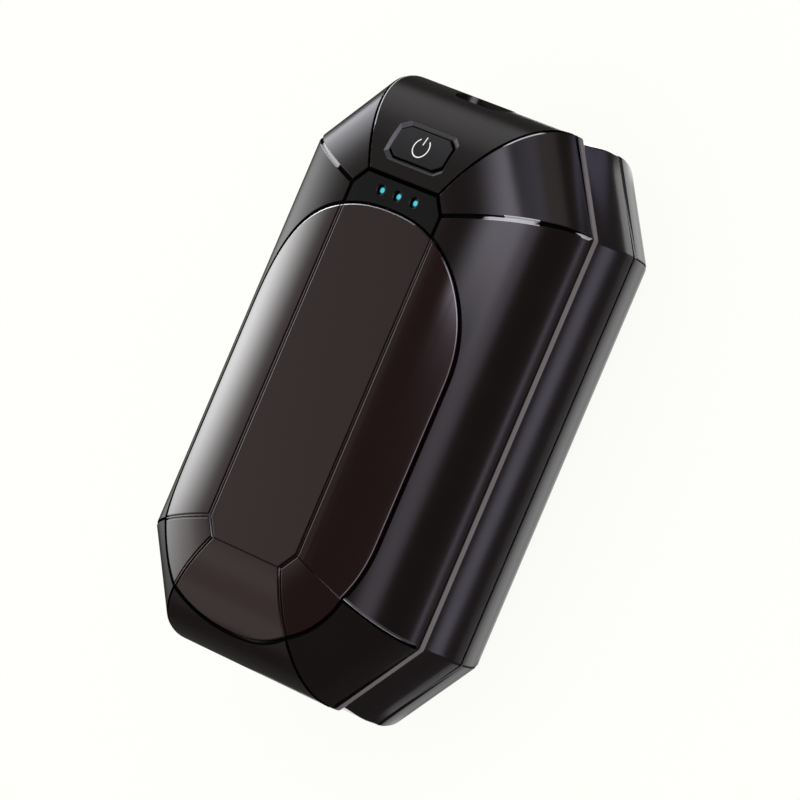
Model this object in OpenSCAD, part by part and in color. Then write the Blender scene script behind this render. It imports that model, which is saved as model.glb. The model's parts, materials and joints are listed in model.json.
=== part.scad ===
// Pocket hand warmer in a gem-cut case, heated on its front and its rear, with a charging port.
// Millimetres. +Z comes out of the front face, +Y points to the end with the button and the port,
// and +X is to the right when the front is looked at. The origin is the middle of the rear face.

/* [Case] */
// Overall length of the case
case_length = 96; // [95:0.5:102]
// Overall width of the case
case_width = 56.5; // [56:0.5:61]
// How far each cut corner reaches along the width
corner_cut_width = 11.2; // [9.5:0.1:11.6]
// How far each cut corner reaches along the length
corner_cut_length = 13.9; // [11.5:0.1:14.4]
// Height of the front dome, from its rim to its flat
front_dome_height = 13.9; // [13:0.1:16]
// Height of the band between the two rims
band_height = 10.8; // [10:0.1:13]
// Height of the rear dome, from its rim to its flat
rear_dome_height = 11.1; // [10:0.1:13]
// How far the end facets reach along the length, from the rim to the flat
end_facet_length = 16.9; // [16.7:0.1:17.7]
// Width of the flat on top of each dome
table_width = 20.4; // [19.5:0.1:23]
// Width of the small cut at each corner of the flat
table_cut = 2.3; // [1.6:0.1:3]
// Wall of the two covers
cover_wall = 2; // [1.8:0.1:2.2]
// Height of the plain lip along the front of the band
lip_height = 1.5; // [0.95:0.05:1.8]
// How far the waist of the band is drawn in behind the lip
waist_depth = 0.8; // [0.4:0.1:1]
// Open seam between a cover and the band
seam = 0.25; // [0.15:0.05:0.35]
// Width of the deep grooves beside the button
wide_groove = 0.7; // [0.4:0.1:0.9]
// Width of the other facet grooves
fine_groove = 0.35; // [0.2:0.05:0.5]
// Depth of the facet grooves
groove_depth = 0.4; // [0.3:0.1:0.6]

/* [Heating plates] */
// Width of the oval seat of a heating plate
oval_width = 44.8; // [42:0.2:46]
// Distance from the lower end of the case to the oval seat
oval_end_margin = 4.25; // [4:0.05:6]
// Distance from the oval seat to the flat's end at the button, over the indicator window
oval_window_margin = 4.75; // [4.6:0.05:5.4]
// Thickness of a heating plate
plate_thickness = 1.2; // [1:0.1:1.4]
// Open line round a heating plate
plate_gap = 0.3; // [0.2:0.05:0.4]
// Width of the ledge that a heating plate is bonded to
ledge_width = 1.6; // [1.2:0.1:2.4]
// Width of a heating film and its pad
film_width = 18; // [12:0.5:19]
// Thickness of a heating film
film_thickness = 0.2; // [0.1:0.05:0.3]
// Thickness of an insulation pad
pad_thickness = 1.5; // [1:0.1:2]

/* [Controls] */
// Width of the power button
button_width = 11.9; // [10:0.1:12.6]
// Length of the power button
button_length = 5.6; // [5:0.1:5.8]
// Width of the cut at each corner of the button
button_cut_width = 1.55; // [1:0.05:1.8]
// Length of the cut at each corner of the button
button_cut_length = 1.05; // [0.8:0.05:1.3]
// Distance from the end of the flat to the middle of the button
button_distance = 5.8; // [5.4:0.05:6]
// How far the button goes down when it is pressed
button_travel = 0.35; // [0.2:0.05:0.4]
// Open line round the button
button_gap = 0.2; // [0.15:0.05:0.3]
// Width of the shallow frame sunk round the button
button_frame = 0.5; // [0.3:0.05:0.7]
// Radius of the ring of the power symbol
symbol_radius = 1.6; // [1.2:0.1:1.7]
// Line width of the power symbol
symbol_line = 0.2; // [0.2:0.05:0.4]
// Spacing of the indicator lights
light_spacing = 3.76; // [3.2:0.02:4]
// Distance from the end of the flat back to the indicator lights
light_distance = 2.5; // [2.2:0.1:2.8]
// Diameter of a light pipe
light_pipe_diameter = 1.5; // [1.2:0.1:1.6]
// Thickness of the indicator window
window_thickness = 1; // [0.8:0.1:1.1]
// Open line round the indicator window
window_gap = 0.4; // [0.2:0.05:0.5]

/* [Charging port] */
// Height of the port's middle above the front rim
port_rise = 3.7; // [3.5:0.1:4.2]
// Width of the port's metal shell
port_width = 8.94; // [8.9:0.01:9]
// Height of the port's metal shell
port_height = 3.26; // [3.2:0.01:3.3]
// Length of the port's metal shell
port_length = 6.8; // [6.5:0.1:7]
// Width of the sunk mouth round the port
mouth_width = 11.4; // [10.5:0.1:13]
// Height of the sunk mouth round the port
mouth_height = 5; // [4.6:0.1:5.4]
// Depth of the sunk mouth at the port's middle
mouth_depth = 1; // [0.8:0.1:1.2]

/* [Battery and board] */
// Diameter of a battery cell in its sleeve
cell_diameter = 18.4; // [18:0.1:18.5]
// Distance from the lower end of the case to the cells
cell_end_margin = 7.2; // [7:0.1:8.4]
// Distance between the two cells
cell_gap = 1; // [0.8:0.05:1.1]
// Width of the control board
board_width = 40; // [38:0.5:41]
// Thickness of the control board
board_thickness = 1.2; // [0.8:0.1:1.6]
// Diameter of the shank of a case screw
case_screw_diameter = 2; // [1.8:0.1:2.2]
// Diameter of the shank of a board screw
board_screw_diameter = 1.6; // [1.4:0.1:1.8]

/* [Hidden] */
$fn = 48;
// How far a cut runs past the face that it opens
overrun = 1;

// Shape of every facet: a superellipse from the edge of the flat to the rim
fullness_out = 2.24;
fullness_up = 2.2;
facet_steps = 10;
oval_fullness = 2.3;
oval_steps = 18;

// Outline of the case at its rims, and the edge of the flats
half_width = case_width / 2;
half_length = case_length / 2;
table_half_width = table_width / 2;
table_half_length = half_length - end_facet_length;
table_cut_length = table_cut * corner_cut_length / corner_cut_width;
corner_edge = norm([corner_cut_width, corner_cut_length]);
corner_turn = atan2(corner_cut_width, corner_cut_length);
corner_reach = (corner_cut_length * half_width
    + corner_cut_width * (half_length - corner_cut_length)) / corner_edge;
table_corner_reach = (corner_cut_length * table_half_width
    + corner_cut_width * (table_half_length - table_cut_length)) / corner_edge;
slab_length = 2 * case_length;

// Levels of the case
rear_rim_z = rear_dome_height;
front_rim_z = rear_dome_height + band_height;
top_z = front_rim_z + front_dome_height;

// Where a cover's tongue sits in the band
tongue_inset = 1;
tongue_height = 0.9;
tongue_clearance = 0.05;
frame_inset = 2.6;

// The oval seat
oval_high_y = table_half_length - oval_window_margin;
oval_low_y = oval_end_margin - half_length;
oval_mid_y = (oval_high_y + oval_low_y) / 2;
oval_half_width = oval_width / 2;
oval_end_reach = oval_high_y - oval_mid_y - oval_half_width;
film_margin = 1.5;
film_low_y = film_margin - table_half_length;
film_high_y = oval_high_y - ledge_width - 2 * film_margin;
film_corner = 2;

// The control board and what stands on it, placed from the port and from the end of the flats
port_y = table_half_length + (half_length - table_half_length)
    * pow(1 - pow(port_rise / front_dome_height, fullness_up), 1 / fullness_out);
port_z = front_rim_z + port_rise;
mouth_floor_y = port_y - mouth_depth;
port_setback = 0.1;
port_front_y = mouth_floor_y - port_setback;
port_clearance = 0.13;
port_wall = 0.3;
port_tongue_width = 6.6;
port_tongue_height = 0.7;
port_tongue_length = 4.6;
board_top_z = port_z - port_height / 2;
board_low_z = board_top_z - board_thickness;
light_y = table_half_length - light_distance;
board_edge_margin = 2.2;
board_low_y = light_y - board_edge_margin;
board_end_gap = 1;
board_high_y = half_length - cover_wall - board_end_gap;
board_clearance = 0.4;

// The power button, its flange and the switch under it
button_y = table_half_length + button_distance;
button_sink = 0.15;
button_flange = 0.8;
button_flange_thickness = 0.8;
button_play = 0.15;
button_frame_depth = 0.3;
button_outer_y = button_y + button_length / 2 + button_flange;
button_flange_top_z = front_rim_z - button_play + (front_dome_height - cover_wall)
    * rise((button_outer_y - table_half_length) / (half_length - cover_wall - table_half_length));
button_flange_low_z = button_flange_top_z - button_flange_thickness;
button_stem_radius = 1.5;
symbol_depth = 0.25;
symbol_stem = 1.6;
symbol_stem_low = 0.5;
symbol_gap = 0.95;
switch_width = 4.5;
switch_height = 3.3;
switch_plate_thickness = 0.2;
plunger_radius = 1.2;
plunger_clearance = 0.1;
plunger_depth = 0.6;
plunger_room = plunger_depth + button_travel + plunger_clearance;
plunger_rise = 2;
plunger_gap = 0.05;
switch_top_z = board_top_z + switch_height + switch_plate_thickness;
plunger_top_z = switch_top_z + plunger_rise;

// The indicator lights
light_sink = 0.45;
light_clearance = 0.05;
window_hole_radius = light_pipe_diameter / 2 + 2 * light_clearance;
led_length = 1.6;
led_width = 0.8;
led_height = 0.6;
led_gap = 0.25;
shroud_wall = 0.95;
shroud_chamber_width = 2.4;
shroud_chamber_height = 1.4;
shroud_clearance = 0.1;

// The battery
cell_radius = cell_diameter / 2;
cell_clearance = 0.1;
cell_z = top_z / 2;
cell_board_gap = 2;
cell_high_y = board_low_y - cell_board_gap;
cell_low_y = cell_end_margin - half_length;
cell_length = cell_high_y - cell_low_y;
cell_spacing = cell_diameter + cell_gap;
cell_cap_radius = 3.4;
cell_cap_height = 0.6;
strip_thickness = 0.2;
strip_overlap = 4;
strip_tab_width = 4;
strip_tab_rise = 1.8;

// The tray that holds the cells and carries the board
tray_wall = 1;
tray_end_gap = 0.2;
tray_grip = 2.5;
tray_half_width = cell_spacing / 2 + cell_radius + cell_clearance + tray_wall;
tray_low_z = cell_z - cell_radius - cell_clearance - tray_wall;
tray_low_y = cell_low_y - strip_thickness - tray_end_gap - tray_wall;
tray_high_y = cell_high_y + strip_thickness + tray_end_gap + tray_wall;
tray_trim = 0.4;
tray_top_z = cell_z + tray_grip;
strip_height = 2 * tray_grip;
strip_width = cell_spacing + 2 * strip_overlap;
platform_end_gap = 1.4;
platform_high_y = half_length - frame_inset - platform_end_gap;
post_radius = 1.9;
post_setback = 1.7;
lower_post_setback = 3.1;
upper_post_x = 11.5;
lower_post_x = 16.5;
upper_post_y = platform_high_y - post_setback;
lower_post_y = board_low_y + lower_post_setback;
wire_hole_radius = 2.4;

// Screws, their tabs and their bosses
boss_radius = 2.3;
boss_margin = 0.15;
boss_clearance = 0.3;
screw_x = half_width - frame_inset - boss_radius - boss_margin;
screw_setback = 3.1;
screw_y = half_length - corner_cut_length - screw_setback;
screw_hole_clearance = 0.15;
thread_clearance = 0.02;
tab_thickness = 2;
tab_gap = 0.3;
tab_low_z = rear_rim_z + tongue_height + tab_gap;
ear_low_z = tab_low_z + tab_thickness;
boss_low_z = ear_low_z + tab_thickness;
case_screw_length = 11;
case_screw_head_radius = 1.9;
case_screw_head_height = 1.2;
board_screw_length = 5;
board_screw_head_radius = 1.5;
board_screw_head_height = 0.9;
driver_slot_width = 0.5;
driver_slot_depth = 0.5;

// Snap hooks that hold the rear cover in the band
snap_width = 5;
snap_wall = 0.8;
snap_clearance = 0.05;
snap_reach = 4.2;
snap_nose = 0.5;
snap_nose_height = 0.9;
snap_root = 2;
snap_offset = 16;

// Wires
lead_radius = 0.55;
sensor_lead_radius = 0.3;
sensor_radius = 1.1;
wire_sides = 8;
wire_steps = 4;

// Height of a facet, as a share of its dome, at a share of the way from flat to rim
function rise(share) = pow(1 - pow(share, fullness_out), 1 / fullness_up);

// Points of one facet from the edge of the flat, down to the rim at height zero
function facet_curve(table_half, rim_half, height) = [
    for (i = [0 : facet_steps])
        let (turn = 90 * i / facet_steps)
        [table_half + (rim_half - table_half) * pow(sin(turn), 2 / fullness_out),
         height * pow(cos(turn), 2 / fullness_up)]
];

function both_sides(points) = concat(
    points,
    [for (i = [len(points) - 1 : -1 : 0]) [-points[i].x, points[i].y]]
);

// Section across two opposite facets of a dome; inset is how deep under the outer surface it lies
function dome_section(table_half, rim_half, height, inset, skirt) = both_sides(concat(
    facet_curve(table_half, rim_half - inset, height - inset),
    skirt > 0 ? [[rim_half - inset, -skirt]] : []
));

// Share of the waist's depth at a share of the way from the rear rim to the lip
function waist(share) = share * share * (3 - 2 * share);

// Section across two opposite sides of the band, from the rear rim up to the front rim
function band_section(rim_half) = both_sides(concat(
    [for (i = [0 : facet_steps])
        let (share = i / facet_steps)
        [rim_half - waist_depth * waist(share),
         seam + (band_height - lip_height - seam) * share]],
    [[rim_half, band_height - lip_height], [rim_half, band_height - seam]]
));

// Eight-sided outline with every side moved in by inset
function eight_sides(half_w, half_l, reach, inset) =
    let (
        w = half_w - inset,
        l = half_l - inset,
        edge = corner_edge * (reach - inset),
        corner_x = (edge - corner_cut_width * l) / corner_cut_length,
        corner_y = (edge - corner_cut_length * w) / corner_cut_width
    )
    [[corner_x, l], [w, corner_y], [w, -corner_y], [corner_x, -l],
     [-corner_x, -l], [-w, -corner_y], [-w, corner_y], [-corner_x, l]];

function rim_outline(inset) = eight_sides(half_width, half_length, corner_reach, inset);

function table_outline(inset) = eight_sides(
    table_half_width, table_half_length, table_corner_reach, inset);

// Oval outline with fuller ends than half circles
function oval_outline(inset) = [
    for (end = [1, -1], i = [0 : oval_steps])
        let (
            turn = 180 * i / oval_steps,
            reach = oval_half_width - inset,
            across = pow(abs(cos(turn)), 2 / oval_fullness) * sign(cos(turn)),
            along = pow(sin(turn), 2 / oval_fullness)
        )
        [end * reach * across, end * (oval_end_reach + reach * along) + oval_mid_y]
];

function button_outline(inset) =
    let (
        w = button_width / 2 - inset,
        l = button_length / 2 - inset,
        x = w - button_cut_width,
        y = l - button_cut_length
    )
    [[x, l], [w, y], [w, -y], [x, -l], [-x, -l], [-w, -y], [-w, y], [-x, l]];

// A smooth run of points through the given ones
function blend_point(a, b, c, d, t) =
    ((2 * b) + (c - a) * t + (2 * a - 5 * b + 4 * c - d) * t * t
    + (3 * b - a - 3 * c + d) * t * t * t) / 2;

function smooth_path(points) =
    let (last = len(points) - 1)
    concat(
        [for (i = [0 : last - 1], j = [0 : wire_steps - 1])
            blend_point(points[max(i - 1, 0)], points[i], points[i + 1],
                points[min(i + 2, last)], j / wire_steps)],
        [points[last]]
    );

function unit(v) = v / norm(v);

// Two opposite facets, as a long prism turned about Z
module slab(section, turn) {
    rotate([0, 0, turn]) rotate([90, 0, 0])
        linear_extrude(height = slab_length, center = true) polygon(section);
}

// A whole dome standing on height zero, with a straight skirt below its rim
module dome(height, inset = 0, skirt = 0) {
    intersection() {
        slab(dome_section(table_half_width, half_width, height, inset, skirt), 0);
        slab(dome_section(table_half_length, half_length, height, inset, skirt), 90);
        slab(dome_section(table_corner_reach, corner_reach, height, inset, skirt), corner_turn);
        slab(dome_section(table_corner_reach, corner_reach, height, inset, skirt), -corner_turn);
    }
}

module on_front() {
    translate([0, 0, front_rim_z]) children();
}

module on_rear() {
    translate([0, 0, rear_rim_z]) mirror([0, 0, 1]) children();
}

// A straight block on an outline between two levels
module block(outline, low_z, high_z) {
    translate([0, 0, low_z]) linear_extrude(height = high_z - low_z) polygon(outline);
}

// A box on the XY plane from its middle and its size
module box_at(x, y, low_z, size) {
    translate([x - size.x / 2, y - size.y / 2, low_z]) cube(size);
}

// An upright wall from one point of the plan to another
module upright(from, to, width, height) {
    run = to - from;
    translate([from.x, from.y, 0]) rotate([0, 0, atan2(run.y, run.x)])
        translate([0, -width / 2, 0]) cube([norm(run), width, height]);
}

// Uprights over the eight hips of a dome, starting just inside the corners of its flat; the two
// hips from the flat's upper corners to the long sides have a width of their own
module hip_walls(height, upper_side_width, other_width) {
    flat = table_outline(0);
    rim = rim_outline(-overrun);
    for (i = [0 : len(flat) - 1]) {
        width = i == 1 || i == 6 ? upper_side_width : other_width;
        upright(flat[i] - width / 2 * unit(rim[i] - flat[i]), rim[i], width, height);
    }
}

// The part of the children that lies above groove_depth under a dome's surface
module groove_in(height) {
    difference() {
        children();
        dome(height, groove_depth, overrun);
    }
}

module stadium(width, height) {
    straight = width - height;
    square([straight, height], center = true);
    for (side = [-1, 1]) translate([side * straight / 2, 0]) circle(d = height);
}

// A port-shaped prism that runs along Y from a place
module port_prism(width, height, low_y, high_y) {
    translate([0, low_y, port_z]) rotate([-90, 0, 0])
        linear_extrude(height = high_y - low_y) stadium(width, height);
}

module at_screws() {
    for (x = [-screw_x, screw_x], y = [-screw_y, screw_y]) translate([x, y, 0]) children();
}

module at_posts() {
    for (side = [-1, 1]) {
        translate([side * upper_post_x, upper_post_y, 0]) children();
        translate([side * lower_post_x, lower_post_y, 0]) children();
    }
}

// Shell of one cover with its tongue and the seat of its heating plate
module cover_shell(height) {
    difference() {
        union() {
            dome(height);
            block(rim_outline(tongue_inset), -tongue_height, cover_wall);
        }
        dome(height, cover_wall, tongue_height + overrun);
        difference() {
            block(oval_outline(0), 0, height + overrun);
            dome(height, plate_thickness, overrun);
        }
        block(oval_outline(ledge_width), 0, height + overrun);
    }
}

module front_cover() {
    color("#221f1f") difference() {
        union() {
            on_front() cover_shell(front_dome_height);
            intersection() {
                at_screws() translate([0, 0, boss_low_z]) cylinder(r = boss_radius, h = top_z);
                on_front() dome(front_dome_height, cover_wall / 2, front_rim_z - boss_low_z);
            }
        }
        on_front() groove_in(front_dome_height)
            hip_walls(front_dome_height + overrun, wide_groove, fine_groove);
        // Seat of the indicator window, and the holes of the light pipes
        on_front() block(table_outline(0), front_dome_height - window_thickness,
            front_dome_height + overrun);
        at_lights() translate([0, 0, front_rim_z])
            cylinder(d = light_pipe_diameter + 2 * light_clearance, h = front_dome_height);
        // Opening of the button and the shallow frame round it
        at_button() block(button_outline(-button_gap), front_rim_z, top_z);
        difference() {
            at_button() block(button_outline(-button_gap - button_frame), front_rim_z, top_z);
            on_front() translate([0, 0, -button_frame_depth]) dome(front_dome_height, 0, overrun);
        }
        // Sunk mouth and opening of the charging port
        port_prism(mouth_width, mouth_height, mouth_floor_y, half_length + overrun);
        port_prism(port_width + 2 * port_clearance, port_height + 2 * port_clearance,
            board_high_y - overrun, half_length + overrun);
        at_screws() translate([0, 0, boss_low_z - overrun])
            cylinder(r = case_screw_diameter / 2 + thread_clearance,
                h = overrun + case_screw_length - 2 * tab_thickness + overrun);
    }
}

// One snap hook, standing at the middle of the right side of the rear cover
module snap_hook() {
    inner = half_width - frame_inset - snap_clearance - snap_wall;
    translate([inner, -snap_width / 2, rear_rim_z - snap_root])
        cube([snap_wall, snap_width, snap_root + snap_reach]);
    translate([inner + snap_wall / 2, -snap_width / 2, rear_rim_z + snap_reach - snap_nose_height])
        cube([snap_wall / 2 + snap_clearance + snap_nose, snap_width, snap_nose_height]);
    translate([inner, -snap_width / 2, rear_rim_z - snap_root])
        cube([half_width - cover_wall - inner, snap_width, snap_root - snap_clearance]);
}

module snap_pocket() {
    inner = half_width - frame_inset;
    room = 2 * snap_clearance;
    translate([inner - overrun, -snap_width / 2 - room,
        rear_rim_z + snap_reach - snap_nose_height - room])
        cube([overrun + snap_nose + room, snap_width + 2 * room, snap_nose_height + 2 * room]);
}

// The hooks' places: two on each long side and one on each end
module at_snaps() {
    for (side = [0, 180]) rotate([0, 0, side])
        for (y = [-snap_offset, snap_offset]) translate([0, y, 0]) children();
    for (end = [90, 270]) rotate([0, 0, end]) translate([half_length - half_width, 0, 0]) children();
}

module rear_cover() {
    color("#221f1f") {
        difference() {
            union() {
                on_rear() cover_shell(rear_dome_height);
                intersection() {
                    at_snaps() snap_hook();
                    union() {
                        on_rear() dome(rear_dome_height, cover_wall / 2, 0);
                        block(rim_outline(tongue_inset), rear_rim_z, front_rim_z);
                    }
                }
            }
            on_rear() groove_in(rear_dome_height)
                hip_walls(rear_dome_height + overrun, fine_groove, fine_groove);
        }
    }
}

module mid_frame() {
    rebate = tongue_inset - tongue_clearance;
    color("#2b292b") difference() {
        union() {
            difference() {
                translate([0, 0, rear_rim_z]) intersection() {
                    slab(band_section(half_width), 0);
                    slab(band_section(half_length), 90);
                    slab(band_section(corner_reach), corner_turn);
                    slab(band_section(corner_reach), -corner_turn);
                }
                block(rim_outline(frame_inset), rear_rim_z - overrun, front_rim_z + overrun);
                block(rim_outline(rebate), front_rim_z - tongue_height, front_rim_z + overrun);
                block(rim_outline(rebate), rear_rim_z - overrun, rear_rim_z + tongue_height);
            }
            // Tabs that the case screws pull against
            intersection() {
                at_screws() box_at(0, 0, tab_low_z,
                    [4 * boss_radius, 2 * boss_radius, tab_thickness]);
                difference() {
                    block(rim_outline(frame_inset - cover_wall / 2), tab_low_z, ear_low_z);
                    block([[-screw_x + boss_radius, -half_length],
                        [screw_x - boss_radius, -half_length],
                        [screw_x - boss_radius, half_length],
                        [-screw_x + boss_radius, half_length]], rear_rim_z, front_rim_z);
                }
            }
        }
        at_snaps() snap_pocket();
        at_screws() translate([0, 0, tab_low_z - overrun])
            cylinder(r = case_screw_diameter / 2 + screw_hole_clearance, h = tab_thickness + 2 * overrun);
    }
}

// Grooves over the flat's edges that lie in a heating plate
module table_edge_walls(height) {
    flat = table_outline(0);
    for (i = [1 : 5]) upright(flat[i], flat[i + 1], fine_groove, height);
}

module heat_plate(height) {
    difference() {
        intersection() {
            dome(height);
            block(oval_outline(plate_gap), 0, height + overrun);
        }
        dome(height, plate_thickness, overrun);
        groove_in(height) {
            hip_walls(height + overrun, fine_groove, fine_groove);
            table_edge_walls(height + overrun);
        }
    }
}

module front_heat_plate() {
    color("#362d2e") on_front() heat_plate(front_dome_height);
}

module rear_heat_plate() {
    color("#362d2e") on_rear() heat_plate(rear_dome_height);
}

// A flat sheet with round corners between the ends of the film, in a dome's own place
module sheet(low_z, thickness) {
    width = film_width - 2 * film_corner;
    length = film_high_y - film_low_y - 2 * film_corner;
    mid_y = (film_high_y + film_low_y) / 2;
    translate([0, mid_y, low_z]) linear_extrude(height = thickness) union() {
        square([width + 2 * film_corner, length], center = true);
        square([width, length + 2 * film_corner], center = true);
        for (x = [-width, width], y = [-length, length])
            translate([x / 2, y / 2]) circle(r = film_corner);
    }
}

module front_heating_film() {
    color("#c8792d") on_front()
        sheet(front_dome_height - plate_thickness - film_thickness, film_thickness);
}

module rear_heating_film() {
    color("#c8792d") on_rear()
        sheet(rear_dome_height - plate_thickness - film_thickness, film_thickness);
}

// Height under a plate's film, measured from the rim
function pad_high_z(height) = height - plate_thickness - film_thickness;

sensor_x = film_width / 2 - 2 * film_corner;
sensor_y = film_high_y - 2 * film_corner;

module front_insulation_pad() {
    color("#e6e2da") on_front() difference() {
        sheet(pad_high_z(front_dome_height) - pad_thickness, pad_thickness);
        translate([sensor_x, sensor_y, 0])
            cylinder(r = sensor_radius + cell_clearance, h = front_dome_height);
    }
}

module rear_insulation_pad() {
    color("#e6e2da") on_rear() sheet(pad_high_z(rear_dome_height) - pad_thickness, pad_thickness);
}

module at_lights() {
    for (place = [-1 : 1]) at_light(place) children();
}

module at_light(place) {
    translate([place * light_spacing, light_y, 0]) children();
}

module at_button() {
    translate([0, button_y, 0]) children();
}

module indicator_window() {
    color("#1a1a1a") difference() {
        on_front() block(table_outline(window_gap), front_dome_height - window_thickness,
            front_dome_height);
        on_front() block(oval_outline(0), 0, front_dome_height + overrun);
        at_lights() cylinder(r = window_hole_radius, h = top_z + overrun);
    }
}

led_top_z = board_top_z + led_height;

module light_pipe(place) {
    low_z = led_top_z + led_gap;
    color("#3cd7e1") at_light(place) translate([0, 0, low_z])
        cylinder(d = light_pipe_diameter, h = top_z - light_sink - low_z);
}

module indicator_led(place) {
    color("#f2efe2") at_light(place) box_at(0, 0, board_top_z, [led_length, led_width, led_height]);
}

// Black block that keeps each light in its own pipe, between the board and the cover
module light_shroud() {
    high_z = top_z - cover_wall - shroud_clearance;
    length = 2 * light_spacing + shroud_chamber_width + 2 * shroud_wall;
    width = light_pipe_diameter + 2 * light_clearance + 2 * shroud_wall;
    color("#151515") difference() {
        box_at(0, light_y, board_top_z, [length, width, high_z - board_top_z]);
        at_lights() cylinder(d = light_pipe_diameter + 2 * light_clearance, h = top_z);
        at_lights() box_at(0, 0, board_top_z - overrun,
            [shroud_chamber_width, led_width + shroud_wall, overrun + shroud_chamber_height]);
    }
}

// The power symbol as a prism over the button
module symbol_prism() {
    at_button() linear_extrude(height = top_z) {
        difference() {
            circle(r = symbol_radius + symbol_line / 2);
            circle(r = symbol_radius - symbol_line / 2);
            translate([-symbol_gap, 0]) square([2 * symbol_gap, 2 * symbol_radius]);
        }
        translate([-symbol_line / 2, symbol_stem_low]) square([symbol_line, symbol_stem]);
    }
}

module button_surface(sink) {
    on_front() translate([0, 0, -sink]) dome(front_dome_height, 0, 0);
}

module power_button() {
    color("#262425") difference() {
        union() {
            intersection() {
                at_button() block(button_outline(0), button_flange_low_z, top_z);
                button_surface(button_sink);
            }
            at_button() block(button_outline(-button_flange), button_flange_low_z,
                button_flange_top_z);
            at_button() translate([0, 0, plunger_top_z + plunger_gap])
                cylinder(r = button_stem_radius,
                    h = button_flange_top_z - plunger_top_z - plunger_gap);
        }
        difference() {
            symbol_prism();
            button_surface(button_sink + symbol_depth);
        }
    }
}

module power_symbol() {
    color("white") difference() {
        intersection() {
            symbol_prism();
            button_surface(button_sink);
        }
        button_surface(button_sink + symbol_depth);
    }
}

module switch_body() {
    high_z = board_top_z + switch_height;
    color("#1d1d1f") at_button() difference() {
        box_at(0, 0, board_top_z, [switch_width, switch_width, switch_height]);
        translate([0, 0, high_z - plunger_room])
            cylinder(r = plunger_radius + plunger_clearance, h = plunger_room + overrun);
    }
}

module switch_top_plate() {
    color("silver") at_button() difference() {
        box_at(0, 0, board_top_z + switch_height,
            [switch_width, switch_width, switch_plate_thickness]);
        translate([0, 0, board_top_z])
            cylinder(r = plunger_radius + plunger_clearance, h = switch_height + overrun);
    }
}

module switch_plunger() {
    low_z = board_top_z + switch_height - plunger_depth;
    color("#1d1d1f") at_button() translate([0, 0, low_z])
        cylinder(r = plunger_radius, h = plunger_top_z - low_z);
}

module usb_port_shell() {
    color("#c9ccd0") difference() {
        port_prism(port_width, port_height, port_front_y - port_length, port_front_y);
        port_prism(port_width - 2 * port_wall, port_height - 2 * port_wall,
            port_front_y - port_length + port_wall, port_front_y + overrun);
    }
}

module usb_port_tongue() {
    low_y = port_front_y - port_length + port_wall;
    color("#1a1a1a") translate([-port_tongue_width / 2, low_y, port_z - port_tongue_height / 2])
        cube([port_tongue_width, port_tongue_length, port_tongue_height]);
}

// A cell lying along Y, its button end towards +Y, so that x is the cell's axis
module battery_cell(x) {
    color("#2f6fb5") translate([x, cell_low_y, cell_z]) rotate([-90, 0, 0]) {
        cylinder(r = cell_radius, h = cell_length - cell_cap_height);
        cylinder(r = cell_cap_radius, h = cell_length);
    }
}

// Strip welded across both cells, with a tab that stands up for its lead
module nickel_strip(low_y, tab_x) {
    color("#b9bbb6") {
        box_at(0, low_y + strip_thickness / 2, cell_z - strip_height / 2,
            [strip_width, strip_thickness, strip_height]);
        box_at(tab_x, low_y + strip_thickness / 2, cell_z,
            [strip_tab_width, strip_thickness, tray_top_z - cell_z + strip_tab_rise]);
    }
}

module battery_tray() {
    cells_x = cell_spacing / 2;
    bore_length = cell_length + 2 * strip_thickness + 2 * tray_end_gap;
    color("#3c4046") difference() {
        union() {
            intersection() {
                union() {
                    box_at(0, (tray_low_y + tray_high_y) / 2, tray_low_z,
                        [2 * tray_half_width, tray_high_y - tray_low_y, tray_top_z - tray_low_z]);
                    box_at(0, (tray_high_y + platform_high_y) / 2 - tray_wall / 2, ear_low_z,
                        [2 * tray_half_width - 2 * tray_wall,
                         platform_high_y - tray_high_y + tray_wall, tab_thickness]);
                }
                block(rim_outline(frame_inset + tray_trim), 0, top_z);
            }
            // Bars that end as ears under the case screws' bosses
            for (y = [-screw_y, screw_y])
                box_at(0, y, ear_low_z,
                    [2 * screw_x + 2 * boss_radius, 2 * boss_radius, tab_thickness]);
            at_posts() translate([0, 0, ear_low_z])
                cylinder(r = post_radius, h = board_low_z - ear_low_z);
        }
        for (x = [-cells_x, cells_x])
            translate([x, cell_low_y - strip_thickness - tray_end_gap, cell_z]) rotate([-90, 0, 0])
                cylinder(r = cell_radius + cell_clearance, h = bore_length);
        // Slots for the strips across the rib between the cells
        for (mid_y = [cell_low_y, cell_high_y])
            box_at(0, mid_y, cell_z - strip_height / 2 - cell_clearance,
                [strip_width + 2 * cell_clearance, 2 * (strip_thickness + tray_end_gap), top_z]);
        at_posts() translate([0, 0, board_low_z - board_screw_length])
            cylinder(r = board_screw_diameter / 2 + thread_clearance,
                h = board_screw_length + overrun);
        at_screws() translate([0, 0, ear_low_z - overrun])
            cylinder(r = case_screw_diameter / 2 + screw_hole_clearance,
                h = tab_thickness + 2 * overrun);
        // Room under the ears for the frame's tabs, and over them for the front cover's bosses
        for (low_z = [ear_low_z - top_z, boss_low_z])
            at_screws() translate([0, 0, low_z]) cylinder(r = boss_radius + boss_clearance, h = top_z);
        // Way through for the rear heating film's lead
        translate([rear_lead_x, lower_post_y, ear_low_z - overrun])
            cylinder(r = wire_hole_radius, h = tab_thickness + 2 * overrun);
    }
}

module control_board() {
    color("#1f5b3a") difference() {
        intersection() {
            block(rim_outline(frame_inset + board_clearance), board_low_z, board_top_z);
            box_at(0, (board_low_y + board_high_y) / 2, board_low_z - overrun,
                [board_width, board_high_y - board_low_y, board_thickness + 2 * overrun]);
        }
        at_posts() cylinder(r = board_screw_diameter / 2 + screw_hole_clearance, h = top_z);
    }
}

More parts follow.
